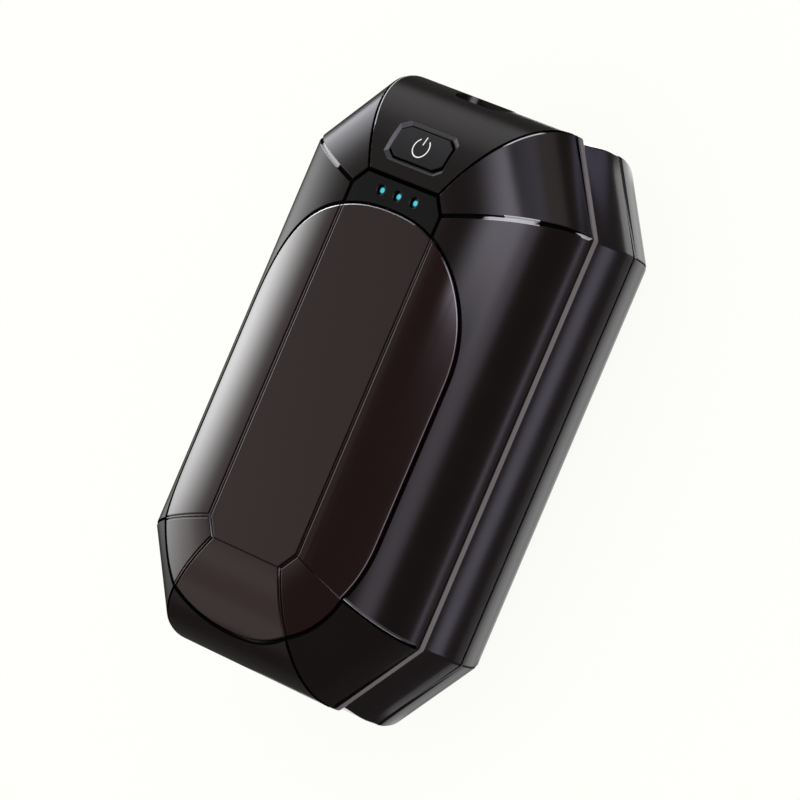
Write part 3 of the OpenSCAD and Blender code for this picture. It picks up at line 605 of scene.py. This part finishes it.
def front_cover(*materials):
    """The front cover's facets, with its grooves, the button's sunk frame and the port's mouth.

    Its materials are those of its slots, in their order."""
    frame_outline = octagon(-BUTTON_GAP - BUTTON_FRAME)
    hole = octagon(-BUTTON_GAP)
    flat_shade = inset_outline(TABLE, -SHADE_LINE)
    mouth = mouth_loop()
    hips = [FINE_PALE, WIDE, FINE_GREY, FINE, FINE, FINE, WIDE, FINE_PALE]
    panels = facet_panels(hips, [EDGE] * 8)
    loops = facet_loops(panels) + seat_loops()
    loops += [frame_outline, hole, mouth, oval(-SHADE_LINE), flat_shade]

    def shown(points):
        share = facet_shares(points).max(axis=1)
        return ((share > 0) & (share < 1) & ~in_oval(points, 0) & ~in_outline(points, hole)
                & ~in_loop(points, mouth))

    def depth_of(points):
        normals, reaches = side_lines(frame_outline)
        sunk = (reaches - points @ normals.T).min(axis=1)
        frame_depth = np.interp(sunk, [0, BUTTON_FRAME], [0, BUTTON_FRAME_DEPTH])
        return np.maximum(seat_edge_depth(points), frame_depth)

    def walls(middle):
        if in_outline(middle[None], frame_outline)[0]:
            return [(0, BUTTON_WALL), (BUTTON_GAP, BUTTON_WALL)]
        return cover_walls(middle)

    def slot_of_face(middles):
        slots = np.full(len(middles), CASE)
        # The sunk frame's bevel is painted greyer: a painted highlight
        slots[in_outline(middles, frame_outline)] = FRAME
        # Painted shade in a line round the oval and the flat, and on the floors of the grooves
        slots[in_oval(middles, -SHADE_LINE) | in_outline(middles, flat_shade)] = SHADE_FILL
        for hip in range(8):
            along, aside = hip_place(middles, hip)
            reach = WIDE_GROOVE / 2 if hip in WIDE_HIPS else SHADE_LINE
            slots[(along > 0) & (np.abs(aside) < reach)] = SHADE_FILL
        # Pale and grey stretches along the grooves: painted highlights
        for hip, first, last, near, far, slot in GROOVE_HIGHLIGHT_STRETCHES:
            along, aside = hip_place(middles, hip)
            slots[(along > first) & (along < last) & (aside > near) & (aside < far)] = slot
        return slots

    shell = dome_skin(FRONT_HEIGHT, loops, shown, panels, depth_of, walls, slot_of_face)
    shell.place(ON_FRONT)
    port_mouth(shell)
    return shell.piece("front_cover_shell", *materials)


def rear_cover(material):
    """The rear cover's facets, round the seat of its plate."""
    panels = facet_panels([FINE] * 8, [NONE] * 8)
    loops = facet_loops(panels) + seat_loops()

    def shown(points):
        return (facet_shares(points).max(axis=1) < 1) & ~in_oval(points, 0)

    shell = dome_skin(REAR_HEIGHT, loops, shown, panels, seat_edge_depth, cover_walls)
    shell.place(ON_REAR)
    return shell.piece("rear_cover_shell", material)


def heat_plate(name, height, place, material, edge_highlight_material):
    """A glossy oval plate with its own facet lines: twin lines with a fine ridge between them, and
    two single fine lines."""
    flat_sections = [NONE, DOUBLE, DOUBLE, SINGLE, DOUBLE, DOUBLE, NONE, NONE]
    hips = [NONE, NONE, SINGLE, DOUBLE, DOUBLE, DOUBLE, NONE, NONE]
    panels = facet_panels(hips, flat_sections) + [Panel(TABLE, flat_sections)]
    loops = facet_loops(panels) + [oval(PLATE_GAP + reach) for reach, depth in PLATE_EDGE]

    def shown(points):
        return in_oval(points, PLATE_GAP)

    def depth_of(points):
        depth = np.interp(distance_to_loop(points, oval(PLATE_GAP)), *zip(*PLATE_EDGE))
        depth[~in_oval(points, PLATE_GAP - ON_LINE)] = PLATE_EDGE_RADIUS
        return depth

    def walls(middle):
        return [(0, PLATE_THICKNESS - PLATE_EDGE_RADIUS)]

    def slot_of_face(middles):
        # The upper left part of the rolled edge takes the bright aluminium: a painted highlight
        highlit_edge = (middles[:, 0] < EDGE_HIGHLIGHT_FROM[0]) & (middles[:, 1] > EDGE_HIGHLIGHT_FROM[1])
        return (highlit_edge & ~in_oval(middles, PLATE_GAP + PLATE_EDGE_RADIUS)).astype(int)

    shell = dome_skin(height, loops, shown, panels, depth_of, walls, slot_of_face)
    shell.place(place)
    return shell.piece(name, material, edge_highlight_material)


def circle(x, y, radius, steps):
    """Points round a circle."""
    return np.array([(x + radius * math.cos(2 * math.pi * i / steps),
                      y + radius * math.sin(2 * math.pi * i / steps)) for i in range(steps)])


def indicator_window(material, rim_shade_material):
    """The dark window, cut to the oval, with three round holes."""
    outline = inset_outline(TABLE, WINDOW_GAP)
    panel = Panel(outline, [EDGE] * 8)
    holes = [(place * LIGHT_SPACING, LIGHT_Y) for place in (-1, 0, 1)]
    loops = panel.loops() + seat_loops()
    for x, y in holes:
        loops += [circle(x, y, LIGHT_HOLE_RADIUS + reach, LIGHT_STEPS) for reach, depth in EDGE]

    def hole_gap(points):
        gaps = [np.linalg.norm(points - hole, axis=1) - LIGHT_HOLE_RADIUS for hole in holes]
        return np.min(gaps, axis=0)

    def shown(points):
        return in_outline(points, outline) & ~in_oval(points, 0) & (hole_gap(points) > -OFF_CURVE) & (
            points[:, 1] > 0)

    def depth_of(points):
        return np.maximum(seat_edge_depth(points), np.interp(hole_gap(points), *zip(*EDGE)))

    def walls(middle):
        return [(0, WINDOW_THICKNESS - EDGE_RADIUS)]

    def slot_of_face(middles):
        # Painted shade along the window's rolled edge and its edge at the oval
        rim = ~in_outline(middles, inset_outline(outline, EDGE_RADIUS)) | in_oval(middles, -EDGE_RADIUS)
        return rim.astype(int)

    shell = dome_skin(FRONT_HEIGHT, loops, shown, [panel], depth_of, walls, slot_of_face)
    shell.place(ON_FRONT)
    return shell.piece("indicator_window_panel", material, rim_shade_material)


def light_pipe(name, place, material, core_material):
    """A round tinted rod with a domed, softly rounded top whose middle is lit from below."""
    x = place * LIGHT_SPACING
    top = TOP_Z - LIGHT_SINK
    low = box_mm("light_pipe_middle")[0][2]
    rows = [(LIGHT_CORE_RADIUS, top)]
    rows += [(LIGHT_PIPE_RADIUS * share, top - drop) for share, drop in LIGHT_ROUNDING]
    rows.append((LIGHT_PIPE_RADIUS, low))
    shell = Shell()
    rings = [np.column_stack([circle(x, LIGHT_Y, radius, LIGHT_STEPS), np.full(LIGHT_STEPS, z)])
             for radius, z in rows]
    shell.add(rings[0], [tuple(range(LIGHT_STEPS))], None, 1)
    for upper, lower in zip(rings, rings[1:]):
        shell.strip(lower, upper)
    shell.add(rings[-1][::-1], [tuple(range(LIGHT_STEPS))])
    return shell.piece(name, material, core_material)


def power_button(material):
    """The button's eight-sided cap, which follows the curve of its facet."""
    outline = octagon(BUTTON_TRIM)
    panel = Panel(outline, [EDGE] * 8)
    loops = facet_loops([panel])

    def shown(points):
        return in_outline(points, outline)

    def walls(middle):
        return [(0, BUTTON_WALL)]

    shell = dome_skin(FRONT_HEIGHT, loops, shown, [panel], no_depth, walls)
    shell.place(Matrix.Translation((0, 0, FRONT_RIM_Z - BUTTON_SINK)))
    return shell.piece("power_button_cap", material)


def power_symbol(material):
    """The ring with its gap and the bar, printed in white on the cap."""
    half = SYMBOL_LINE / 2
    ring = []
    for side in (1, -1):
        radius = SYMBOL_RADIUS + side * half
        gap = math.asin(SYMBOL_GAP / radius)
        turns = np.linspace(math.pi / 2 + gap, 2.5 * math.pi - gap, SYMBOL_STEPS)[::side]
        ring += [(radius * math.cos(turn), BUTTON_Y + radius * math.sin(turn)) for turn in turns]
    low, high = (BUTTON_Y + y for y in SYMBOL_STEM)
    ring, bar = np.array(ring), np.array([(-half, low), (half, low), (half, high), (-half, high)])

    def shown(points):
        return in_loop(points, ring) | in_loop(points, bar)

    def walls(middle):
        return [(0, 2 * SYMBOL_PROUD)]

    shell = dome_skin(FRONT_HEIGHT, dome_rows() + [ring, bar], shown, [], no_depth, walls)
    shell.place(Matrix.Translation((0, 0, FRONT_RIM_Z - BUTTON_SINK + SYMBOL_PROUD)))
    return shell.piece("power_symbol_print", material)


def rounded_outline(outline, radius, steps):
    """A convex outline with rounded corners: points and their outward normals."""
    normals, reaches = side_lines(outline)
    centres = inset_outline(outline, radius)
    points, outs = [], []
    for k in range(len(outline)):
        start = math.atan2(normals[k - 1][1], normals[k - 1][0])
        turn = math.atan2(normals[k][1], normals[k][0]) - start
        turn = (turn + math.pi) % (2 * math.pi) - math.pi
        for i in range(steps + 1):
            at = start + turn * i / steps
            out = np.array([math.cos(at), math.sin(at)])
            points.append(centres[k] + radius * out)
            outs.append(out)
    return np.array(points), np.array(outs)


def swept_band(shell, sections):
    """Carries a run of (inset, z, slot) points round the case's outline."""
    points, outs = rounded_outline(RIM, BAND_CORNER, CORNER_STEPS)
    for (inset_a, z_a, slot), (inset_b, z_b, _) in zip(sections, sections[1:]):
        slope = np.array([z_a - z_b, inset_a - inset_b])
        slope = slope / np.linalg.norm(slope)
        for k in range(len(points)):
            after = (k + 1) % len(points)
            quad, normals = [], []
            for at, inset, z in ((k, inset_a, z_a), (after, inset_a, z_a), (after, inset_b, z_b),
                                 (k, inset_b, z_b)):
                quad.append((*(points[at] - inset * outs[at]), z))
                normals.append((*(outs[at] * slope[0]), slope[1]))
            shell.add(quad, [(0, 1, 2, 3)], [normals], slot)


def mid_frame(band_material, lip_highlight_material):
    """The band: a plain lip at the front, then a waist that swells out to the rear."""
    rear, front = band_low[2], band_high[2]
    under_lip = FRONT_RIM_Z - LIP_HEIGHT
    bend, mid = BAND_BEND, BEND_MIDDLE
    sections = [(BAND_WALL, rear, 0), (bend, rear, 0), (mid, rear + mid, 0), (0, rear + bend, 0)]
    # The waist is drawn in under the lip, and a smooth step takes it out again to the rear
    for i in range(1, BAND_ROWS + 1):
        z = rear + bend + (under_lip - rear - bend) * i / BAND_ROWS
        swell = min(max((WAIST_TOP - z) / (WAIST_TOP - WAIST_LOW), 0), 1)
        sections.append((WAIST_DEPTH * (1 - swell * swell * (3 - 2 * swell)), z, 0))
    # The lip's face takes the grey of its painted highlight
    sections += [(bend, under_lip, 0), (mid, under_lip + mid, 0), (0, under_lip + bend, 0),
                 (0, front - bend, 1), (mid, front - mid, 0), (bend, front, 0), (BAND_WALL, front, 0)]
    shell = Shell()
    swept_band(shell, sections[::-1])
    return shell.piece("mid_frame_band", band_material, lip_highlight_material)


# Materials
def linear(hex_colour):
    """An sRGB hex colour as linear light."""
    values = [int(hex_colour[k:k + 2], 16) / 255 for k in (1, 3, 5)]
    return tuple(v / 12.92 if v <= 0.04045 else ((v + 0.055) / 1.055) ** 2.4 for v in values) + (1,)


def node(tree, kind, settings=None, links=None):
    """Adds a node: settings name its properties and sockets, links name sockets and what feeds them,
    an output or a node for its first one."""
    made = tree.nodes.new(kind)
    for key, value in (settings or {}).items():
        if isinstance(key, str) and hasattr(made, key):
            setattr(made, key, value)
        else:
            made.inputs[key].default_value = value
    for key, source in (links or {}).items():
        tree.links.new(getattr(source, "outputs", [source])[0], made.inputs[key])
    return made


def new_material(name):
    """A material without nodes, and its node tree."""
    material = bpy.data.materials.new(name)
    material.use_nodes = True
    material.node_tree.nodes.clear()
    return material, material.node_tree


def pattern_scale(size_mm):
    """Noise scale whose features are about this size."""
    return 1 / (size_mm * METRES)


# A moulding tool's real grain is about half as wide as this. It is drawn coarser, so that it shows.
GRAIN_MM = 0.12
MOTTLE_MM = 9


def finish(name, base, roughness, *, metallic=0.0, ior=1.5, specular=0.5, coat=0.0, coat_roughness=0.1,
           grain_mm=GRAIN_MM, grain_height_mm=0.002, mottle=0.08, roughness_spread=0.04,
           emission="#ffffff", emission_strength=0.0):
    """A surface with a fine grain in its relief, and slow changes of tone and gloss."""
    material, tree = new_material(name)
    place = node(tree, "ShaderNodeTexCoord").outputs["Object"]
    grain = node(tree, "ShaderNodeTexNoise", {"Scale": pattern_scale(grain_mm), "Detail": 3.0},
                 {"Vector": place})
    slow = node(tree, "ShaderNodeTexNoise", {"Scale": pattern_scale(MOTTLE_MM), "Detail": 4.0},
                {"Vector": place})
    bump = node(tree, "ShaderNodeBump", {"Strength": 1.0, "Distance": grain_height_mm * METRES},
                {"Height": grain})
    colour = linear(base)
    darker = tuple(c * (1 - mottle) for c in colour[:3]) + (1,)
    lighter = tuple(min(c * (1 + mottle), 1) for c in colour[:3]) + (1,)
    # A Mix node has its two colours at inputs 6 and 7, and the mixed one at output 2
    tone = node(tree, "ShaderNodeMix", {"data_type": "RGBA", 6: darker, 7: lighter}, {0: slow})
    gloss = node(tree, "ShaderNodeMapRange", {"To Min": roughness - roughness_spread,
                                             "To Max": roughness + roughness_spread},
                 {"Value": slow})
    surface = node(tree, "ShaderNodeBsdfPrincipled",
                   {"Metallic": metallic, "IOR": ior, "Specular IOR Level": specular,
                    "Coat Weight": coat, "Coat Roughness": coat_roughness,
                    "Emission Color": linear(emission), "Emission Strength": emission_strength},
                   {"Base Color": tone.outputs[2], "Roughness": gloss, "Normal": bump})
    node(tree, "ShaderNodeOutputMaterial", None, {"Surface": surface})
    return material


# Satin ABS, moulded in a finely eroded tool: warm black with a soft, broad sheen
case_plastic = finish("satin_abs", "#16100f", 0.22, specular=0.3, grain_mm=0.1, grain_height_mm=0.0015)
# The same ABS on the band, moulded in a smoother tool: narrower, clearer bands of light
band_plastic = finish("smooth_abs", "#140d0f", 0.18, grain_mm=0.1, grain_height_mm=0.001)
# The band's lip, painted grey: a painted highlight in a line round the case
lip_highlight_plastic = finish("lip_abs", "#665e60", 0.3, grain_mm=0.1, grain_height_mm=0.001)
# Glossy paint on pressed aluminium: brownish black with clear reflections
plate_paint = finish("glossy_paint", "#1c0a09", 0.14, coat=1.0, coat_roughness=0.1, grain_mm=0.25,
                     grain_height_mm=0.0006, roughness_spread=0.02)
# Smoked polycarbonate of the window: a plain black that reflects little
window_plastic = finish("smoked_polycarbonate", "#060606", 0.2, ior=1.58, specular=0.3)
# ABS of the button's cap, from a rougher tool: black with a dull sheen
button_plastic = finish("button_abs", "#0d0d0d", 0.36, specular=0.3)
# Screen-printed ink of the symbol: an even, matt white
symbol_ink = finish("white_ink", "#f4f4f2", 0.5)
# Tinted resin of the light pipes: dark cyan at the rim, and bright where the light comes through
light_resin = finish("cyan_resin", "#0e4650", 0.3)
light_glow = finish("lit_cyan_resin", "#2a8e9c", 0.4, emission="#46cdd8", emission_strength=0.62)
# Bright aluminium on the plates' rolled edge, at its upper left only: a painted highlight in a thin bright
# line
plate_edge_highlight = finish("aluminium_edge_highlight", "#dcdcdc", 0.25, metallic=1.0, grain_height_mm=0.0006)
# The case's ABS, rougher and painted greyer: a painted highlight on the bevel of the button's sunk frame
# and along one groove
grey_highlight_plastic = finish("grey_highlight_abs", "#2f2f31", 0.42)
# The case's ABS along the grooves, painted pale grey: painted highlights where the grooves catch the light
pale_highlight_plastic = finish("pale_highlight_abs", "#b6b6ba", 0.4)
# Painted shade: near black and almost without sheen, on the floors of the grooves and along the edges of
# the oval, the flat and the window
painted_shade_plastic = finish("painted_shade_abs", "#030303", 0.8, specular=0.02)
# The inner pieces, which the closed case hides: the common colour and sheen of each
INNER_FINISHES = {
    "black_plastic": finish("black_nylon", "#131314", 0.45),
    "led_resin": finish("led_epoxy", "#e8e2c4", 0.3),
    "polyimide_film": finish("polyimide", "#b3661d", 0.3),
    "foam": finish("white_foam", "#dcd8cf", 0.9, grain_mm=0.4, grain_height_mm=0.08),
    "tray_plastic": finish("grey_abs", "#34373c", 0.5),
    "cell_sleeve": finish("pvc_sleeve", "#2b66a8", 0.35),
    "nickel": finish("nickel_strip", "#b4b1a8", 0.3, metallic=1.0),
    "board_laminate": finish("solder_mask", "#123f27", 0.4),
    "ferrite": finish("ferrite_core", "#3b3d40", 0.6),
    "capacitor_ceramic": finish("capacitor_body", "#a8835a", 0.5),
    "sensor_resin": finish("sensor_epoxy", "#6b3f1e", 0.4),
    "red_insulation": finish("red_pvc", "#a3201a", 0.45),
    "black_insulation": finish("black_pvc", "#121212", 0.45),
    "pale_insulation": finish("silicone_wire", "#cfcabd", 0.5),
    "steel": finish("plated_steel", "#a2a4a8", 0.28, metallic=1.0),
}

# Every CAD node gets the finish that its slot in the record names
finish_of = {**INNER_FINISHES, "case_plastic": case_plastic, "band_plastic": band_plastic,
             "plate_gloss": plate_paint, "window_plastic": window_plastic,
             "button_plastic": button_plastic, "symbol_white": symbol_ink, "light_pipe": light_resin}
slot_of = {part["node"]: part["material_slot"] for part in frame["record"]["subparts"]}
for name, cad_object in frame["nodes"].items():
    for material_slot in cad_object.material_slots:
        material_slot.material = finish_of[slot_of[name]]

body_of = {name: body for body, names in frame["record"]["behaviour"]["bodies"].items()
           for name in names}


def stands_for(piece, node_name):
    """Lets a piece take a CAD node's place, on the node's own body."""
    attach(piece, body_of[node_name])
    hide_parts(node_name)


stands_for(front_cover(case_plastic, grey_highlight_plastic, pale_highlight_plastic, painted_shade_plastic), "front_cover")
stands_for(rear_cover(case_plastic), "rear_cover")
stands_for(mid_frame(band_plastic, lip_highlight_plastic), "mid_frame")
stands_for(heat_plate("front_heat_plate_skin", FRONT_HEIGHT, ON_FRONT, plate_paint, plate_edge_highlight),
           "front_heat_plate")
stands_for(heat_plate("rear_heat_plate_skin", REAR_HEIGHT, ON_REAR, plate_paint, plate_edge_highlight),
           "rear_heat_plate")
stands_for(indicator_window(window_plastic, painted_shade_plastic), "indicator_window")
for side, place in (("left", -1), ("middle", 0), ("right", 1)):
    stands_for(light_pipe("light_pipe_" + side + "_rod", place, light_resin, light_glow),
               "light_pipe_" + side)
stands_for(power_button(button_plastic), "power_button")
stands_for(power_symbol(symbol_ink), "power_symbol")


# The camera, at the photograph's viewing angle
LENS_MM = 297.95
SENSOR_MM = 36
FARTHEST_SEEN = 20
CAMERA_AT = (0.7019, 0.00261, 0.77798)
CAMERA_RIGHT = (0.6755, 0.3921, -0.6245)
CAMERA_BACK = (0.678, 0.0027, 0.7351)


def photograph_camera():
    data = bpy.data.cameras.new("camera")
    data.lens = LENS_MM
    data.sensor_width = SENSOR_MM
    data.clip_end = FARTHEST_SEEN
    camera = new_object("camera", data)
    right = Vector(CAMERA_RIGHT).normalized()
    back = Vector(CAMERA_BACK)
    back = (back - back.dot(right) * right).normalized()
    turn = Matrix((right, back.cross(right), back)).transposed().to_4x4()
    camera.matrix_world = Matrix.Translation(CAMERA_AT) @ turn
    bpy.context.scene.camera = camera


# The studio, with its stage pieces in millimetres as well
WHITE = "#fffffb"
TABLE_RADIUS = 150
TABLE_STEPS = 96
TABLE_Z = -0.2
GLOW_Z = -0.1
CARD_Z = -0.08
# How much of the table's white the camera sees plain, over the shadow
TABLE_PLAIN = 0.94
FLOOR_IN_GLOSS = 0.08
SKY_IN_GLOSS = 0.05
# How squarely a soft box's glow ends: the power of the distance from its middle
SOFTBOX_EDGE = 4.0
# Soft boxes: azimuth from +X to +Y, elevation, width and height to where it fades, strength, colour
SOFTBOXES = [
    (180, 37.5, 14, 10, 0.28, "#ffffff"),
    (161, 5, 9, 24, 4.3, "#f2f2fc"),
    (-158, 38, 16, 14, 0.24, "#ffe8e2"),
    (-140, 20, 12, 12, 0.24, "#fff4f0"),
    (140, 10, 18, 20, 1.0, "#ffffff"),
    (70, 30, 14, 14, 1.3, "#dedcff"),
    (66, 5, 15, 22, 0.8, "#fff4f4"),
    (0, 51, 25, 15, 2.05, "#f4ecff"),
]
# The floor's glow at distances outside the case's outline: its strength, and that past the lower end
FLOOR_PROFILE = [(-14, 0.4, 0.2), (-1.2, 1.0, 0.5), (0.6, 1.9, 1.0), (2.3, 2.6, 1.4), (5.2, 2.9, 1.5),
                 (7.2, 2.7, 1.1), (8.7, 1.5, 0.15), (10.6, 0.15, 0), (11.3, 0, 0)]
LOWER_SIDES = (2, 3, 4)


def stage_plane(name, corners, material, faces=None):
    """A flat piece of the stage, one face unless faces are given."""
    mesh = bpy.data.meshes.new(name)
    mesh.from_pydata([tuple(METRES * c for c in corner) for corner in corners], [],
                     faces or [tuple(range(len(corners)))])
    mesh.materials.append(material)
    plane = new_object(name, mesh)
    return plane


def table_top():
    """A round white table that keeps the object's soft shadow, and looks dim in the object's gloss."""
    material, tree = new_material("white_table")
    ray = node(tree, "ShaderNodeLightPath")
    lit = node(tree, "ShaderNodeBsdfDiffuse", {"Color": linear(WHITE)})
    plain = node(tree, "ShaderNodeEmission", {"Color": linear(WHITE), "Strength": 1.0})
    dim = node(tree, "ShaderNodeEmission", {"Color": linear(WHITE), "Strength": FLOOR_IN_GLOSS})
    share = node(tree, "ShaderNodeMath", {"operation": "MULTIPLY", 1: TABLE_PLAIN},
                 {0: ray.outputs["Is Camera Ray"]})
    seen = node(tree, "ShaderNodeMixShader", None, {0: share, 1: lit, 2: plain})
    mixed = node(tree, "ShaderNodeMixShader", None, {0: ray.outputs["Is Glossy Ray"], 1: seen, 2: dim})
    node(tree, "ShaderNodeOutputMaterial", None, {"Surface": mixed})
    stage_plane("table", [(x, y, TABLE_Z) for x, y in circle(0, 0, TABLE_RADIUS, TABLE_STEPS)], material)


def in_gloss_only(card):
    card.visible_camera = False
    card.visible_diffuse = False
    card.visible_shadow = False


def edge_fade(tree, position, share):
    """From 1 to 0 over the outer share of a card's side, along one of its axes."""
    middle = node(tree, "ShaderNodeMath", {"operation": "SUBTRACT", 1: 0.5}, {0: position})
    away = node(tree, "ShaderNodeMath", {"operation": "ABSOLUTE"}, {0: middle})
    return node(tree, "ShaderNodeMapRange", {"interpolation_type": "SMOOTHSTEP", "From Min": 0.5,
                                            "From Max": 0.5 - share}, {"Value": away})


def reflection_card(name, centre, across, along, strength, colour, feather, axes="XY"):
    """A glowing card that shows in the object's gloss only; feather is the share of each side that
    fades along each of its two axes."""
    material, tree = new_material(name)
    place = node(tree, "ShaderNodeTexCoord").outputs["Generated"]
    split = node(tree, "ShaderNodeSeparateXYZ", None, {"Vector": place})
    fades = [edge_fade(tree, split.outputs[axis], share) for axis, share in zip(axes, feather)]
    fade = node(tree, "ShaderNodeMath", {"operation": "MULTIPLY"}, {0: fades[0], 1: fades[1]})
    clear = node(tree, "ShaderNodeBsdfTransparent")
    glow = node(tree, "ShaderNodeEmission", {"Color": linear(colour), "Strength": strength})
    faded = node(tree, "ShaderNodeMixShader", None, {0: fade, 1: clear, 2: glow})
    node(tree, "ShaderNodeOutputMaterial", None, {"Surface": faded})
    centre, across, along = (np.array(v, float) for v in (centre, across, along))
    corners = [centre - across - along, centre + across - along, centre + across + along,
               centre - across + along]
    in_gloss_only(stage_plane(name, corners, material))


def floor_glow(name, profile, colour):
    """A glowing floor round the case that shows in its gloss only."""
    material, tree = new_material(name)
    level = node(tree, "ShaderNodeAttribute", {"attribute_name": "glow"})
    glow = node(tree, "ShaderNodeEmission", {"Color": linear(colour)}, {"Strength": level.outputs["Fac"]})
    node(tree, "ShaderNodeOutputMaterial", None, {"Surface": glow})
    sides = len(RIM)
    points = []
    for row in profile:
        points += [(x, y, GLOW_Z) for x, y in inset_outline(RIM, -row[0])]
    faces = [tuple(range(sides))]
    levels = [profile[0][1]] * sides
    for i in range(len(profile) - 1):
        near, far = sides * i, sides * (i + 1)
        for k in range(sides):
            after = (k + 1) % sides
            faces.append((near + k, near + after, far + after, far + k))
            column = 2 if k in LOWER_SIDES else 1
            levels += [profile[i][column]] * 2 + [profile[i + 1][column]] * 2
    floor = stage_plane(name, points, material, faces)
    attribute = floor.data.attributes.new("glow", "FLOAT", "CORNER")
    attribute.data.foreach_set("value", levels)
    in_gloss_only(floor)


def softbox_in_sky(tree, direction, azimuth, elevation, wide, high, strength, colour):
    """A soft glow in the studio's surroundings, round a direction, that fades at the given angles."""
    turn, lift = math.radians(azimuth), math.radians(elevation)
    centre = (math.cos(lift) * math.cos(turn), math.cos(lift) * math.sin(turn), math.sin(lift))
    side = (-math.sin(turn), math.cos(turn), 0)
    up = tuple(np.cross(centre, side))
    drops = []
    for axis, reach in ((side, wide), (up, high)):
        dot = node(tree, "ShaderNodeVectorMath", {"operation": "DOT_PRODUCT", 1: axis}, {0: direction})
        size = node(tree, "ShaderNodeMath", {"operation": "ABSOLUTE"}, {0: dot.outputs["Value"]})
        share = node(tree, "ShaderNodeMath", {"operation": "DIVIDE", 1: math.sin(math.radians(reach))},
                     {0: size})
        drops.append(node(tree, "ShaderNodeMath", {"operation": "POWER", 1: SOFTBOX_EDGE}, {0: share}))
    total = node(tree, "ShaderNodeMath", {"operation": "ADD"}, {0: drops[0], 1: drops[1]})
    fade = node(tree, "ShaderNodeMath", {"operation": "POWER", 0: math.exp(-1)}, {1: total})
    ahead = node(tree, "ShaderNodeVectorMath", {"operation": "DOT_PRODUCT", 1: centre}, {0: direction})
    front = node(tree, "ShaderNodeMath", {"operation": "GREATER_THAN", 1: 0.0},
                 {0: ahead.outputs["Value"]})
    level = node(tree, "ShaderNodeMath", {"operation": "MULTIPLY"}, {0: fade, 1: front})
    tint = tuple(strength * c for c in linear(colour)[:3])
    return node(tree, "ShaderNodeVectorMath", {"operation": "SCALE", 0: tint}, {"Scale": level})


def surroundings():
    """An even light on every colour, white behind the object, and soft boxes in its gloss."""
    made = bpy.data.worlds.new("studio")
    made.use_nodes = True
    made.cycles.sampling_method = "NONE"
    tree = made.node_tree
    tree.nodes.clear()
    direction = node(tree, "ShaderNodeTexCoord").outputs["Generated"]
    total = node(tree, "ShaderNodeVectorMath", {"operation": "ADD", 0: (SKY_IN_GLOSS,) * 3,
                                               1: (0, 0, 0)})
    for box in SOFTBOXES:
        total = node(tree, "ShaderNodeVectorMath", {"operation": "ADD"},
                     {0: total, 1: softbox_in_sky(tree, direction, *box)})
    ray = node(tree, "ShaderNodeLightPath")
    even = node(tree, "ShaderNodeMix", {"data_type": "RGBA", 7: (1, 1, 1, 1)},
                {0: ray.outputs["Is Diffuse Ray"], 6: total})
    behind = node(tree, "ShaderNodeMix", {"data_type": "RGBA", 7: linear(WHITE)},
                  {0: ray.outputs["Is Camera Ray"], 6: even.outputs[2]})
    glow = node(tree, "ShaderNodeBackground", {"Strength": 1.0}, {"Color": behind.outputs[2]})
    node(tree, "ShaderNodeOutputWorld", None, {"Surface": glow})
    bpy.context.scene.world = made


photograph_camera()
table_top()
surroundings()
floor_glow("under_glow", FLOOR_PROFILE, "#ffffff")
# Cards: middle, half of each side, strength, colour, the shares that fade
reflection_card("left_card", (-90, 0, 49), (0, 90, 0), (0, 0, 61), 3.0, "#ffffff", (0.5, 0.475), "YZ")
reflection_card("overhead_card", (60, 93, 180), (105, 0, 0), (0, 77, 0), 6.0, "#f4eeff", (0.35, 0.06))
reflection_card("side_card", (60, 12, CARD_Z), (5, 0, 0), (0, 62, 0), 3.9, "#eee6ff", (0.45, 0.1))
reflection_card("corner_card", (30, 70, CARD_Z), (14, 0, 0), (0, 9, 0), 0.95, "#dcd8ff", (0.3, 0.45))
bpy.context.scene.view_settings.view_transform = "Standard"
